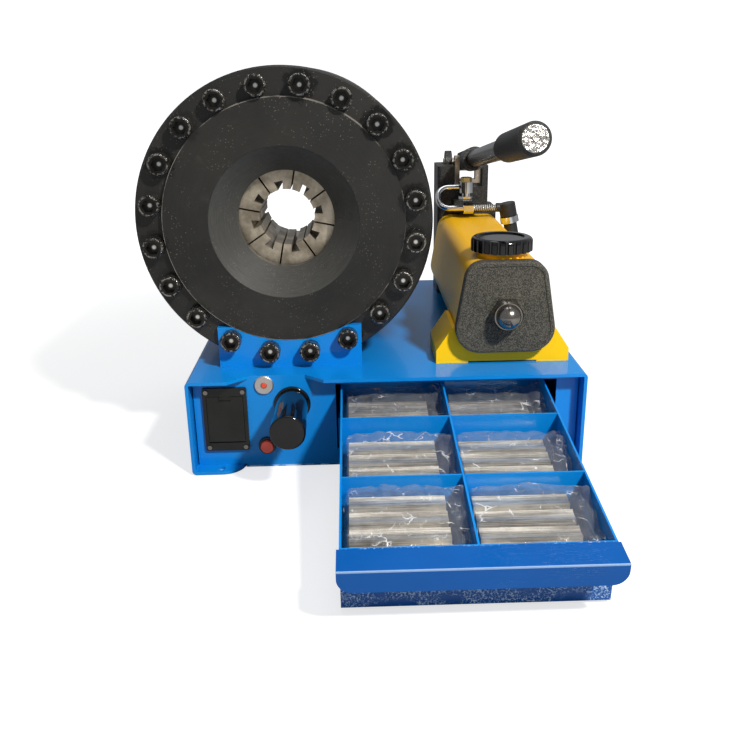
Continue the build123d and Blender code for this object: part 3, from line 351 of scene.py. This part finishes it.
# ---- finishes ----
def gloss_paint(
    name,
    colour,
    deep,
    # This colour is for rubbed paint and for the painted highlight on the drawer ledge's edge.
    wear_and_highlight=BLUE_RUBBED_AND_HIGHLIGHT,
    scratches=0.3,
    roughness=0.2,
    coat=0.22,
    scuffed_and_shaded_face=False,
    worn_below=None,
):
    """Powder-coated sheet: a fine orange peel, faint cloudiness, dust specks, a few hairline scratches and,
    on the drawer ledge's front edge, a painted highlight.

    The flag for the drawer's front wall paints that wall a darker blue, a painted shade, and adds a web of
    pale scuff marks, which gather in bands.
    With worn_below, paint is rubbed pale along the edge under that height.
    """
    finish = Finish(name, Coat_Roughness=0.05, Specular_IOR_Level=0.22)
    cloud = finish.noise(9.0, 4.0)
    peel = finish.noise(900.0, 2.0)
    specks = finish.fall(finish.cells(260.0), 0.035, 0.06)
    sparse = finish.step(finish.noise(34.0, 2.0), 0.60, 0.70)
    streak = finish.noise(30.0, 3.0, vector=finish.stretched(2.0, 26.0, 26.0), distortion=0.8)
    hairline = finish.fall(finish.maths("ABSOLUTE", streak - 0.5), 0.0, 0.003)
    hairline = hairline * finish.step(finish.noise(14.0, 1.0), 0.60, 0.72) * scratches
    marks = finish.maths("MAXIMUM", specks * sparse * 0.35, hairline)
    body = finish.blend(finish.step(cloud, 0.3, 0.72), deep, colour)
    # Painted highlight: a bright line along the drawer ledge's front edge, in the rub colour.
    marks = finish.maths("MAXIMUM", marks, lip_edge_highlight(finish) * 0.6)
    if worn_below is not None:
        height = finish.axes()[2]
        rubbed = finish.fall(height, worn_below, worn_below + 1.2 * MM)
        marks = finish.maths("MAXIMUM", marks, rubbed * finish.step(finish.noise(130.0, 3.0), 0.42, 0.58))
    # Painted shade: the drawer's front wall is painted a darker blue; the scuff web on it is real wear.
    if scuffed_and_shaded_face:
        scuffs = scuff_web(finish)
        body = finish.blend(on_drawer_face(finish), body, SHADED_FACE_BLUE)
        marks = finish.maths("MAXIMUM", marks, scuffs)
    finish.feed(
        Base_Color=finish.blend(marks, body, wear_and_highlight),
        Roughness=cloud * 0.12 + marks * 0.3 + (roughness - 0.06),
        Coat_Weight=coat - marks * coat,
    )
    return finish.relief(peel * (0.03 * MM), marks * (-0.02 * MM)).material


def blackened_steel():
    """Satin black head: brushed turning marks, cloudy painted sheen, pale dust and oily rings round some
    bolts, with a painted shine in the mouth cone and a painted highlight on the raised disc's edge.
    """
    finish = Finish("blackened_steel", Specular_IOR_Level=0.50)
    radius, angle = finish.polar(*from_head(finish))
    cloud = finish.noise(13.0, 5.0, 0.62)
    patch = finish.noise(42.0, 4.0, 0.6)
    turned = finish.noise(1.0, 3.0, vector=finish.vector(radius * 2600.0, angle * 5.0, patch * 1.5))
    away, _, index = bolt_pattern(finish)
    front = on_front(finish)
    chance = finish.node("TexWhiteNoise", {"noise_dimensions": "1D"}, {"W": index + 0.37}, "Value")
    ragged = (finish.noise(210.0, 3.0) - 0.5) * (12 * MM)
    ring = finish.fall(away + ragged, 11.5 * MM, 15 * MM) * finish.step(chance, 0.45, 0.75)
    ring = ring * finish.fall(radius, head_radius - 2.5 * MM, head_radius - 1.5 * MM) * front
    dust = finish.fall(finish.cells(420.0), 0.12, 0.20) * finish.step(patch, 0.46, 0.58)
    smear = finish.step(finish.noise(70.0, 4.0, 0.7), 0.56, 0.74) * finish.step(cloud, 0.45, 0.65)
    # The mouth cone is painted a paler brushed grey: a painted shine.
    cone = finish.fall(radius, MOUTH_RADIUS - 0.6 * MM, MOUTH_RADIUS + 0.2 * MM)
    # Painted sheen: lighter clouds on the black.
    painted_sheen = finish.step(cloud * 0.7 + turned * 0.3, 0.32, 0.68)
    body = finish.blend(painted_sheen, HEAD_BLACK, HEAD_PAINTED_SHEEN)
    body = finish.blend(smear * 0.35, body, HEAD_SMEAR)
    body = finish.blend(cone * (turned * 0.7 + 0.2), body, CONE_PAINTED_SHINE)
    body = finish.blend(ring * 0.85, body, OIL_BLACK)
    # Painted highlight: a pale line along the raised disc's edge, on the front half.
    edge = finish.fall(finish.maths("ABSOLUTE", radius - DISC_RADIUS), 0.3 * MM, 0.7 * MM)
    body = finish.blend(edge * front * finish.step(patch, 0.40, 0.58) * 0.6, body, DISC_EDGE_GLINT)
    finish.feed(
        Base_Color=finish.blend(dust * 0.4, body, HEAD_DUST),
        Roughness=0.44 - painted_sheen * 0.12 + patch * 0.08 - ring * 0.20 + dust * 0.2,
    )
    return finish.relief(turned * (0.025 * MM), patch * (0.04 * MM)).material


def black_oxide():
    """Black socket screws: knurled sides, a bright rim that is partly wear and partly a painted highlight,
    and a painted glint in each socket.
    """
    finish = Finish("black_oxide", Metallic=0.9, Specular_IOR_Level=0.7)
    away, angle, _ = bolt_pattern(finish)
    front = on_front(finish)
    knurl = finish.maths("SINE", angle * 48.0)
    side = finish.step(away, 8.2 * MM, 8.8 * MM) * front
    # The pale rim is partly wear and partly a painted highlight.
    rim_patches = finish.step(finish.noise(520.0, 3.0), 0.42, 0.62) * front
    rim = finish.step(away, 6.8 * MM, 7.6 * MM) * rim_patches
    # Painted glint at the bottom of each socket.
    painted_socket_glint = finish.fall(away, 0.9 * MM, 2.4 * MM) * front
    grime = finish.noise(160.0, 4.0)
    body = finish.blend(grime, SCREW_DARK, SCREW_GRIME)
    body = finish.blend(painted_socket_glint, body, SOCKET_GLINT)
    finish.feed(
        Base_Color=finish.blend(rim * 0.8, body, SCREW_RIM_WEAR_AND_GLINT),
        Roughness=grime * 0.20 + 0.14,
    )
    return finish.relief(knurl * side * (0.18 * MM), grime * (0.03 * MM)).material


def turned_steel(name, colour, dark, roughness=0.3):
    """Turned steel: fine rings about the head's axis, tarnish clouds and small dings."""
    finish = Finish(name, Metallic=0.9)
    radius, _ = finish.polar(*from_head(finish))
    tarnish = finish.noise(55.0, 4.0, 0.6)
    rings = finish.noise(1.0, 2.0, vector=finish.vector(radius * 3200.0, tarnish * 0.8, 0.0))
    ding = finish.fall(finish.cells(230.0), 0.03, 0.07)
    body = finish.blend(finish.step(tarnish, 0.34, 0.70), dark, colour)
    finish.feed(
        Base_Color=finish.blend(ding * 0.5, body, DING_DARK),
        Roughness=rings * 0.16 + tarnish * 0.16 + (roughness - 0.12),
    )
    return finish.relief(rings * (0.012 * MM), ding * (-0.04 * MM)).material


def milled_steel(name, colour, dark, roughness=0.34):
    """Ground die segments: long grinding lines along X, grey oil film and nicks."""
    finish = Finish(name, Metallic=0.75)
    grain = finish.noise(22.0, 3.0, vector=finish.stretched(0.6, 60.0, 60.0))
    film = finish.noise(28.0, 4.0, 0.65, finish.stretched(0.5, 3.0, 3.0))
    nick = finish.fall(finish.cells(190.0), 0.03, 0.08)
    body = finish.blend(finish.step(film * 0.55 + grain * 0.45, 0.40, 0.60), dark, colour)
    finish.feed(
        Base_Color=finish.blend(nick * 0.55, body, NICK_DARK),
        Roughness=grain * 0.22 + film * 0.12 + (roughness - 0.14),
    )
    return finish.relief(grain * (0.03 * MM), nick * (-0.05 * MM)).material


def chrome(name, colour=(0.82, 0.83, 0.85), roughness=0.08):
    """Plated steel with faint polishing haze and water spots."""
    finish = Finish(name, Metallic=1.0)
    haze = finish.noise(140.0, 4.0)
    spot = finish.fall(finish.cells(380.0), 0.08, 0.14)
    finish.feed(
        Base_Color=finish.blend(haze * 0.5, colour, tuple(channel * 0.6 for channel in colour)),
        Roughness=haze * 0.10 + spot * 0.12 + roughness,
    )
    return finish.relief(haze * (0.01 * MM)).material


def textured_black(name, pale, dark, grain=700.0, height=0.22 * MM, roughness=0.55):
    """Powder-textured casting: close grains whose tops are painted pale, a painted highlight."""
    finish = Finish(name, Specular_IOR_Level=0.45)
    pebble = finish.noise(grain, 2.0, 0.6)
    fine = finish.noise(grain * 2.2, 2.0, 0.7)
    # The grain tops take the pale colour: painted highlight; the cloud adds a little random tone.
    crown = finish.step(pebble * 0.7 + fine * 0.3, 0.46, 0.58)
    cloud = finish.noise(30.0, 3.0)
    finish.feed(
        Base_Color=finish.blend(crown * 0.8 + cloud * 0.2, dark, pale),
        Roughness=crown * -0.12 + cloud * 0.1 + roughness,
    )
    return finish.relief(crown * height).material


def moulded(name, colour, roughness=0.4, grain=1400.0, height=0.02 * MM, coat=0.0):
    """Moulded plastic or rubber: a fine spark-eroded grain and faint handling marks."""
    finish = Finish(name, Coat_Roughness=0.06, Specular_IOR_Level=0.40)
    pale = tuple(channel * 1.5 + 0.002 for channel in colour)
    marks = finish.noise(45.0, 4.0, 0.6)
    skin = finish.noise(grain, 2.0)
    finish.feed(
        Base_Color=finish.blend(finish.step(marks, 0.35, 0.75), colour, pale),
        Roughness=marks * 0.16 + (roughness - 0.08),
        Coat_Weight=marks * 0.3 + coat,
    )
    return finish.relief(skin * height).material


def clear_film():
    """Thin clear bag: nearly invisible face on, milky at its folds, with crossing creases painted bright
    white, a painted highlight.
    """
    constants = {"Roughness": 0.10, "Specular_IOR_Level": 1.0, "Coat_Weight": 0.5, "Coat_Roughness": 0.05}
    finish = Finish("clear_film", **constants)
    swirl = finish.noise(60.0, 3.0, 0.6) - 0.5
    px, py, pz = finish.axes()
    wander = finish.vector(px + swirl * (18 * MM), py - swirl * (14 * MM), pz + swirl * (10 * MM))
    crinkle = finish.cells(52.0, "DISTANCE_TO_EDGE", wander)
    # Creases and glints are painted white: painted highlight.
    crease = finish.fall(crinkle, 0.0, 0.045) * finish.step(finish.noise(75.0, 2.0), 0.50, 0.66)
    fine = finish.cells(210.0, "DISTANCE_TO_EDGE", wander)
    glint = finish.fall(fine, 0.0, 0.07) * finish.step(finish.noise(60.0, 2.0), 0.60, 0.70)
    facing = finish.node("LayerWeight", sockets={"Blend": 0.35}, output="Facing")
    shine = finish.maths("MAXIMUM", crease, glint)
    finish.feed(
        Base_Color=finish.blend(shine, FILM_GREY, FILM_CREASE_HIGHLIGHT),
        Alpha=facing * 0.34 + shine * 0.50 + 0.06,
    )
    return finish.relief(crinkle * (3.0 * MM), fine * (0.3 * MM)).material


def braided():
    """Pale wire braid about the short hose's axis, along X: beads from strands that cross as helices, with
    painted shade between the beads.

    A bead is sin(2 pi x / pitch + angle), and a strand is sin(9 angle - 1800 x).
    """
    bead_pitch = 2.1 * MM
    finish = Finish("braid", Metallic=0.6)
    px, py, pz = finish.axes()
    angle = finish.maths("ARCTAN2", pz - pressure_hose.z, py - pressure_hose.y)
    bead = finish.maths("SINE", px * (math.tau / bead_pitch) + angle)
    strand = finish.maths("SINE", angle * 9.0 - px * 1800.0)
    weave = bead * 0.8 + strand * 0.2
    finish.feed(
        # The low parts of the weave are painted dark: painted shade between the beads.
        Base_Color=finish.blend(finish.step(weave, -0.5, 0.4), BRAID_GAP_SHADE, BRAID_WIRE),
        Roughness=0.34 - weave * 0.12,
    )
    return finish.relief(weave * (0.5 * MM)).material


def crinkled_foil():
    """Pressed bright end of the grip: crumpled silver facets."""
    finish = Finish("crinkled_foil", Metallic=1.0)
    crumple = finish.cells(300.0)
    fine = finish.noise(900.0, 3.0, 0.7, distortion=1.0)
    finish.feed(
        Base_Color=finish.blend(finish.step(fine, 0.34, 0.60), FOIL_SHADE, FOIL_SILVER),
        Roughness=fine * 0.25 + 0.12,
    )
    return finish.relief(crumple * (0.7 * MM), fine * (0.3 * MM)).material


FINISHES = {
    "blue_paint": gloss_paint("blue_paint", BLUE, BLUE_DEEP),
    "panel_paint": gloss_paint("panel_paint", BLUE, BLUE_DEEP, worn_below=panel_bottom + 0.8 * MM),
    "tray_paint": gloss_paint("tray_paint", BLUE, BLUE_DEEP, scuffed_and_shaded_face=True),
    # The drawer front's darker blue is painted shade.
    "shaded_cobalt_paint": gloss_paint("shaded_cobalt_paint", SHADED_COBALT, SHADED_COBALT_DEEP, scratches=0.5, coat=0.12),
    "blackened_steel": blackened_steel(),
    "black_oxide": black_oxide(),
    "turned_steel": turned_steel("turned_steel", STEEL, STEEL_DARK),
    "die_steel": turned_steel("master_die_steel", DIE_STEEL, DIE_DARK, 0.36),
    "segment_steel": milled_steel("segment_steel", BAR_STEEL, BAR_DARK),
    "spring_steel": milled_steel("spring_steel", (0.35, 0.34, 0.33), (0.2, 0.2, 0.2)),
    "seal_rubber": moulded("seal_rubber", (0.012, 0.012, 0.012), 0.5),
    "black_moulding": moulded("black_moulding", (0.006, 0.006, 0.005), 0.40, 900.0, 0.06 * MM),
    "gloss_black": moulded("gloss_black", (0.002, 0.002, 0.0025), 0.14, 300.0, 0.005 * MM, 0.2),
    "red_cap": moulded("red_cap", (0.78, 0.10, 0.065), 0.35),
    "red_lens": moulded("red_lens", (0.62, 0.06, 0.02), 0.12, coat=0.7),
    "chrome": chrome("chrome"),
    "brushed_ring": chrome("brushed_ring", (0.78, 0.74, 0.71), 0.30),
    "dark_chrome": chrome("dark_chrome", (0.30, 0.28, 0.255), 0.16),
    "smoked_chrome": chrome("smoked_chrome", (0.11, 0.10, 0.09), 0.18),
    "yellow_paint": gloss_paint("yellow_paint", YELLOW, YELLOW_DEEP, YELLOW_RUBBED, 0.15, 0.40, 0.1),
    "lemon_paint": gloss_paint("lemon_paint", LEMON, LEMON_DEEP, LEMON_RUBBED, 0.15, 0.40, 0.1),
    "textured_black": textured_black("textured_black", POWDER_HIGHLIGHT, POWDER_DARK, 1350.0),
    "cast_black": textured_black("cast_black", CASTING_HIGHLIGHT, CASTING_DARK, 500.0, 0.1 * MM, 0.42),
    "grip_rubber": textured_black("grip_rubber", RUBBER_HIGHLIGHT, RUBBER_DARK, 1300.0, 0.08 * MM, 0.5),
    "foil": crinkled_foil(),
    "brass": chrome("brass", (0.78, 0.60, 0.26), 0.22),
    "braid": braided(),
    "hose_rubber": moulded("hose_rubber", (0.012, 0.012, 0.012), 0.45, 900.0, 0.04 * MM),
    "film": clear_film(),
}

NODE_FINISH = {
    "blue_paint": "base_shell back_panel drawer_rails long_divider cross_dividers front_bracket rear_bracket",
    "panel_paint": "front_panel",
    "tray_paint": "drawer_tray",
    # The drawer front takes the darker blue of painted shade.
    "shaded_cobalt_paint": "drawer_front",
    "blackened_steel": "head_flange cylinder",
    "black_oxide": "flange_screws bracket_screws",
    "turned_steel": "piston sill_roller plunger lever_pin tie_rod dial_spindle",
    "die_steel": " ".join(f"master_die_{number}" for number in range(1, 9)),
    "segment_steel": "spare_dies",
    "spring_steel": "return_springs",
    "seal_rubber": "piston_seal",
    "black_moulding": "battery_box battery_door",
    "gloss_black": "dial_collar dial_knob filler_cap button_bezel release_valve",
    "red_cap": "button_cap",
    "red_lens": "lamp_lens",
    "chrome": "outlet_fitting pressure_pipe pipe_nuts hose_band",
    "brushed_ring": "lamp_bezel",
    "dark_chrome": "acorn_nut battery_screws",
    "smoked_chrome": "handle_tube",
    "yellow_paint": "oil_tank",
    "lemon_paint": "tank_foot",
    "textured_black": "tank_end_cap",
    "cast_black": "pump_body pump_lever",
    "grip_rubber": "handle_grip",
    "foil": "handle_plug",
    "brass": "banjo_bolt",
    "braid": "pressure_hose",
    "hose_rubber": "supply_hose hose_elbow",
    "film": "die_bags",
}


def dress_nodes():
    """Gives each of the frame's nodes its finish."""
    for finish, nodes in NODE_FINISH.items():
        for node in nodes.split():
            for slot in frame["nodes"][node].material_slots:
                slot.material = FINISHES[finish]


dress_nodes()


# ---- pieces worked out here ----
# A bag reaches past its dies at each end. Its section is |y/a|^n + |z/b|^n = 1 with n = 2 / BAG_ROUNDNESS.
BAG_LEFT_REACH = 3.4 * MM
BAG_RIGHT_REACH = 11.5 * MM
BAG_ROUNDNESS = 2.0 / 5.0
BAG_RINGS = 120
BAG_AROUND = 160
# How far the film stands off the dies, and how much higher its folds, billows and middle push its top.
BAG_SLACK = 0.3 * MM
BAG_LOFT = 3.0 * MM
BAG_FOLD = 5.0 * MM
BAG_BILLOW = 4.0 * MM
BAG_PUFF = 2.5 * MM
# Folds lie round the bag as they would on a roll of this radius.
BAG_GIRTH_RADIUS = 12.0 * MM
BAG_SIDE_SLACK = 0.2 * MM
# The loose end: its rise, its waves, and the shares of width and height that it loses.
BAG_TAIL_RISE = 15.0 * MM
BAG_TAIL_WAVE = 2.2 * MM
BAG_TAIL_NARROWING = 0.10
BAG_TAIL_FLATTENING = 0.93
BAG_TAIL_RAGGEDNESS = 2.0 * MM

# Crumpled film is a sum of waves with these least and most radians to the metre.
FOLD_LAYERS = 9
FOLD_WAVES = (90.0, 260.0)
FOLD_WANDER = 0.8
FOLD_WANDER_WAVE = 110.0

SPRING_COUNT = 6
SPRING_FIRST_BEARING = math.radians(30)
SPRING_CIRCLE = 86.5 * MM
SPRING_COIL = 6.0 * MM
SPRING_WIRE = 1.0 * MM
SPRING_TURNS = 6
SPRING_STEPS_A_TURN = 28
SPRING_STEPS = SPRING_STEPS_A_TURN * SPRING_TURNS
WIRE_SIDES = 10

# The hose's control points, in millimetres.
HOSE_ROUTE = (
    (149.6, 82, 176.0),
    (161, 82, 122.2),
    (161, 83, 58),
    (128, 131, 54),
    (30, 137, 52),
    (-60, 134, 53),
    (-87, 83.5, 44),
    (-85, 38.5, 42),
    (-85, 38.5, 77.5),
)
HOSE_RADIUS = 7.5 * MM


def add_grid_piece(name, rings, finish, replaced):
    """A closed surface through rings of points that all run round the same way.

    Each vertex is at ring i and place j round it, and fans to their middles close the two end rings.
    """
    count, around, _ = rings.shape
    ends = np.array((rings[0].mean(axis=0), rings[-1].mean(axis=0)))
    points = np.vstack((rings.reshape(-1, 3), ends))
    here = np.arange(count * around).reshape(count, around)
    beside = np.roll(here, -1, axis=1)
    faces = np.stack((here[:-1], beside[:-1], beside[1:], here[1:]), axis=-1).reshape(-1, 4).tolist()
    first, last = count * around, count * around + 1
    faces += [(b, a, first) for a, b in zip(here[0], beside[0])]
    faces += [(a, b, last) for a, b in zip(here[-1], beside[-1])]
    mesh = bpy.data.meshes.new(name)
    mesh.from_pydata(points.tolist(), [], faces)
    mesh.shade_smooth()
    mesh.materials.append(FINISHES[finish])
    piece = bpy.data.objects.new(name, mesh)
    bpy.context.scene.collection.objects.link(piece)
    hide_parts(replaced)
    return piece


def ease(value, low, high):
    """Smooth rise from 0 at low to 1 at high."""
    share = np.clip((value - low) / (high - low), 0.0, 1.0)
    return share * share * (3.0 - 2.0 * share)


def crumple(across, along, seed):
    """Height of crumpled film from 0 to 1: h = sum of |sin(k . p + phase)| / n over n random directions k.

    Each term is round-topped with a sharp valley, so their sum has facets that meet in creases. The phase
    wanders along the film, so that no crease runs straight.
    """
    chance = np.random.default_rng(seed)
    height = 0.0
    for layer in range(FOLD_LAYERS):
        heading = chance.uniform(0.0, math.pi)
        wave = chance.uniform(*FOLD_WAVES) * (1.0 + layer / FOLD_LAYERS)
        phase = chance.uniform(0.0, math.tau)
        run = across * math.cos(heading) + along * math.sin(heading)
        wander = FOLD_WANDER * np.sin(along * FOLD_WANDER_WAVE + phase)
        height += np.abs(np.sin(run * wave + phase + wander))
    return height / FOLD_LAYERS


def die_packs():
    """Low and high corner of each bagged die set, in the drawer's level places, row by row."""
    points = level(vertices("die_bags"))
    split = level(np.array([middle("long_divider")]))[0, 0]
    walls = level(vertices("cross_dividers"))[:, 1]
    halfway = (walls.min() + walls.max()) / 2
    dividers = (walls[walls < halfway].mean(), walls[walls > halfway].mean())
    packs = []
    for row in range(len(dividers) + 1):
        in_row = np.searchsorted(dividers, points[:, 1]) == row
        for on_right in (False, True):
            chosen = points[in_row & ((points[:, 0] > split) == on_right)]
            packs.append((chosen.min(axis=0), chosen.max(axis=0)))
    return packs


def bag_rings(low, high, seed):
    """Rings of points of one bag, in the drawer's level places.

    A ring at u along the bag is a rounded rectangle, and its top is pushed up by crumple(). Past the dies'
    ends it shrinks to a flat, wavy sheet, which rises as a tail at the right.
    """
    half = (high - low) / 2
    centre = (high + low) / 2
    turn = np.linspace(0.0, math.tau, BAG_AROUND, endpoint=False)
    start = low[0] - BAG_LEFT_REACH
    end = high[0] + BAG_RIGHT_REACH
    u = np.linspace(start, end, BAG_RINGS)[:, None]
    y = np.sign(np.cos(turn)) * np.abs(np.cos(turn)) ** BAG_ROUNDNESS
    z = np.sign(np.sin(turn)) * np.abs(np.sin(turn)) ** BAG_ROUNDNESS
    gathered = 1.0 - ease(u, start, low[0])
    flattened = ease(u, high[0], high[0] + BAG_RIGHT_REACH * 0.6)
    closing = np.maximum(gathered, flattened)
    folds = crumple(u, turn * BAG_GIRTH_RADIUS, seed)
    billows = crumple(u * 0.5, y * half[1] * 0.5, seed + 50)
    puff = np.sin(math.pi * np.clip((u - low[0]) / (high[0] - low[0]), 0.0, 1.0))
    lift = BAG_LOFT + folds * BAG_FOLD + billows * BAG_BILLOW + puff * BAG_PUFF
    rise = BAG_SLACK + ease(z, 0.3, 0.95) * lift
    tail = flattened * (0.35 + 0.65 * ease(y, -1.0, 0.6)) * BAG_TAIL_RISE
    wave = np.sin(y * 9.0 + seed) * flattened * BAG_TAIL_WAVE
    width = half[1] * (1.0 - BAG_TAIL_NARROWING * closing) + BAG_SIDE_SLACK
    height = half[2] * (1.0 - BAG_TAIL_FLATTENING * closing)
    rings = np.empty((BAG_RINGS, BAG_AROUND, 3))
    rings[..., 0] = u + (folds - 0.5) * BAG_TAIL_RAGGEDNESS * flattened
    rings[..., 1] = centre[1] + y * width
    rings[..., 2] = np.maximum(centre[2] + z * height + rise + tail + wave, low[2])
    return rings


def add_die_bags():
    """Six crumpled clear bags, each a tube of film round its dies with a loose open end at the right."""
    for number, (low, high) in enumerate(die_packs(), start=1):
        rings = tipped(bag_rings(low, high, number))
        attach(add_grid_piece(f"clear_bag_{number}", rings, "film", "die_bags"), "drawer")


def add_return_springs():
    """Coil springs between the flange and the piston, made at rest; nothing here shortens them as the piston
    comes forward.

    A spring's wire follows the helix (R cos t, s, R sin t), and its section is a circle.
    """
    points = vertices("return_springs")
    start, end = points[:, 1].min(), points[:, 1].max()
    t = np.linspace(0.0, math.tau * SPRING_TURNS, SPRING_STEPS)[:, None]
    section = np.linspace(0.0, math.tau, WIRE_SIDES, endpoint=False)
    along = start + SPRING_WIRE + (end - start - 2 * SPRING_WIRE) * t / (math.tau * SPRING_TURNS)
    reach = SPRING_COIL + SPRING_WIRE * np.cos(section)
    for number in range(SPRING_COUNT):
        bearing = SPRING_FIRST_BEARING + math.tau * number / SPRING_COUNT
        x = head_x + SPRING_CIRCLE * math.cos(bearing)
        z = head_z + SPRING_CIRCLE * math.sin(bearing)
        rings = np.empty((SPRING_STEPS, WIRE_SIDES, 3))
        rings[..., 0] = x + reach * np.cos(t)
        rings[..., 1] = along - SPRING_WIRE * np.sin(section)
        rings[..., 2] = z + reach * np.sin(t)
        spring = add_grid_piece(f"return_spring_{number + 1}", rings, "spring_steel", "return_springs")
        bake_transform(spring)


def add_supply_hose():
    """The oil line from the pump's elbow through the deck, round the base and up to the cylinder's port."""
    curve = bpy.data.curves.new("oil_supply_hose", "CURVE")
    curve.dimensions = "3D"
    curve.bevel_depth = HOSE_RADIUS
    curve.bevel_resolution = 6
    curve.resolution_u = 16
    curve.use_fill_caps = True
    spline = curve.splines.new("NURBS")
    spline.points.add(len(HOSE_ROUTE) - 1)
    places = [tuple(value * MM for value in place) for place in HOSE_ROUTE]
    for point, place in zip(spline.points, places):
        point.co = (*place, 1.0)
    spline.order_u = 3
    spline.use_endpoint_u = True
    curve.materials.append(FINISHES["hose_rubber"])
    hose = bpy.data.objects.new("oil_supply_hose", curve)
    bpy.context.scene.collection.objects.link(hose)
    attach(hose, "base")
    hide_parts("supply_hose")


add_die_bags()
add_return_springs()
add_supply_hose()


# ---- studio ----
# The lens is this many sensor widths, and the camera's angles are in radians.
LENS_RATIO = 1.14208
SENSOR = 36.0
CAMERA_PLACE = (-26.45 * MM, -875.8 * MM, 340.5 * MM)
LOOK_DOWN = 0.34378
HEADING = -0.02305
ROLL = -0.016085

FLOOR_Z = -0.5 * MM
FLOOR_HALF = 6.0
# The floor's glow whitens between these distances from the middle, and stops this far in under the base.
GLOW_REACH = (0.35, 1.1)
GLOW_MARGIN = 4 * MM

LIGHT_TARGET = (-0.02, -0.05, 0.15)
KEY_DIRECTION = (0.6, -1.0, 0.95)
KEY_DISTANCE = 1.7
KEY_SIZE = 0.14
KEY_WATTS = 33.0
KEY_COLOUR = (1.0, 0.97, 0.92)
TOP_PLACE = (0.1, 0.3, 1.9)
TOP_SIZE = 1.0
TOP_WATTS = 5.0
SKY_COLOUR = (0.93, 0.96, 1.0, 1.0)
SKY_STRENGTH = 0.34
BACKDROP_STRENGTH = 1.05


def add_camera():
    """Camera at its place: forward from heading and tilt, then rolled about forward."""
    heading = Vector((math.cos(HEADING), math.sin(HEADING), 0.0))
    ahead = math.cos(LOOK_DOWN)
    forward = Vector((-math.sin(HEADING) * ahead, math.cos(HEADING) * ahead, -math.sin(LOOK_DOWN)))
    upward = heading.cross(forward)
    right = math.cos(ROLL) * heading + math.sin(ROLL) * upward
    top = -math.sin(ROLL) * heading + math.cos(ROLL) * upward
    data = bpy.data.cameras.new("camera")
    data.sensor_width = SENSOR
    data.lens = LENS_RATIO * SENSOR
    camera = bpy.data.objects.new("camera", data)
    turn = Matrix((right, top, -forward)).transposed().to_4x4()
    camera.matrix_world = Matrix.Translation(CAMERA_PLACE) @ turn
    bpy.context.scene.collection.objects.link(camera)
    bpy.context.scene.camera = camera


def add_light(name, place, size, watts, colour=(1.0, 1.0, 1.0)):
    """A round soft light that points at the machine."""
    data = bpy.data.lights.new(name, "AREA")
    data.shape = "DISK"
    data.size = size
    data.energy = watts
    data.color = colour
    light = bpy.data.objects.new(name, data)
    light.location = place
    light.rotation_euler = (Vector(LIGHT_TARGET) - Vector(place)).to_track_quat("-Z", "Y").to_euler()
    bpy.context.scene.collection.objects.link(light)


def add_floor():
    """A wide pale floor, in the plane that the feet stand on, that glows faintly but under the base."""
    base_low, base_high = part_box("base_shell")
    base_low.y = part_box("front_panel")[0].y
    base_middle = (base_low + base_high) / 2
    base_half = (base_high - base_low) / 2
    mesh = bpy.data.meshes.new("floor")
    quarters = ((-1, -1), (1, -1), (1, 1), (-1, 1))
    mesh.from_pydata([(x * FLOOR_HALF, y * FLOOR_HALF, FLOOR_Z) for x, y in quarters], [], [(0, 1, 2, 3)])
    floor = bpy.data.objects.new("floor", mesh)
    bpy.context.scene.collection.objects.link(floor)
    finish = Finish("floor_paper", Emission_Strength=1.0)
    tone = finish.noise(3.0, 2.0)
    px, py, _ = finish.axes()
    away, _ = finish.polar(px, py)
    beside_x = finish.maths("ABSOLUTE", px - base_middle.x) - base_half.x
    beside_y = finish.maths("ABSOLUTE", py - base_middle.y) - base_half.y
    in_the_open = finish.step(finish.maths("MAXIMUM", beside_x, beside_y), -GLOW_MARGIN, 0.0)
    looked_at = finish.node("LightPath", output="Is Camera Ray") * in_the_open
    glow = finish.blend(finish.step(away, *GLOW_REACH), (0.70, 0.70, 0.70), (1.0, 1.0, 1.0))
    finish.feed(
        Base_Color=finish.blend(tone, (0.44, 0.44, 0.44), (0.47, 0.47, 0.47)),
        Roughness=tone * 0.1 + 0.8,
        Emission_Color=finish.blend(looked_at, (0.0, 0.0, 0.0), glow),
    )
    mesh.materials.append(finish.material)


def light_studio():
    """Soft light from all round, a warm key from the upper right and a backdrop that is seen white."""
    world = bpy.data.worlds.new("studio")
    world.use_nodes = True
    tree = world.node_tree
    soft = tree.nodes["Background"]
    soft.inputs["Color"].default_value = SKY_COLOUR
    soft.inputs["Strength"].default_value = SKY_STRENGTH
    backdrop = tree.nodes.new("ShaderNodeBackground")
    backdrop.inputs["Color"].default_value = (1.0, 1.0, 1.0, 1.0)
    backdrop.inputs["Strength"].default_value = BACKDROP_STRENGTH
    sight = tree.nodes.new("ShaderNodeLightPath")
    choice = tree.nodes.new("ShaderNodeMixShader")
    tree.links.new(sight.outputs["Is Camera Ray"], choice.inputs[0])
    tree.links.new(soft.outputs[0], choice.inputs[1])
    tree.links.new(backdrop.outputs[0], choice.inputs[2])
    tree.links.new(choice.outputs[0], tree.nodes["World Output"].inputs["Surface"])
    bpy.context.scene.world = world
    key_place = Vector(LIGHT_TARGET) + Vector(KEY_DIRECTION).normalized() * KEY_DISTANCE
    add_light("key", key_place, KEY_SIZE, KEY_WATTS, KEY_COLOUR)
    add_light("top", TOP_PLACE, TOP_SIZE, TOP_WATTS)
    bpy.context.scene.view_settings.view_transform = "Standard"


add_camera()
add_floor()
light_studio()
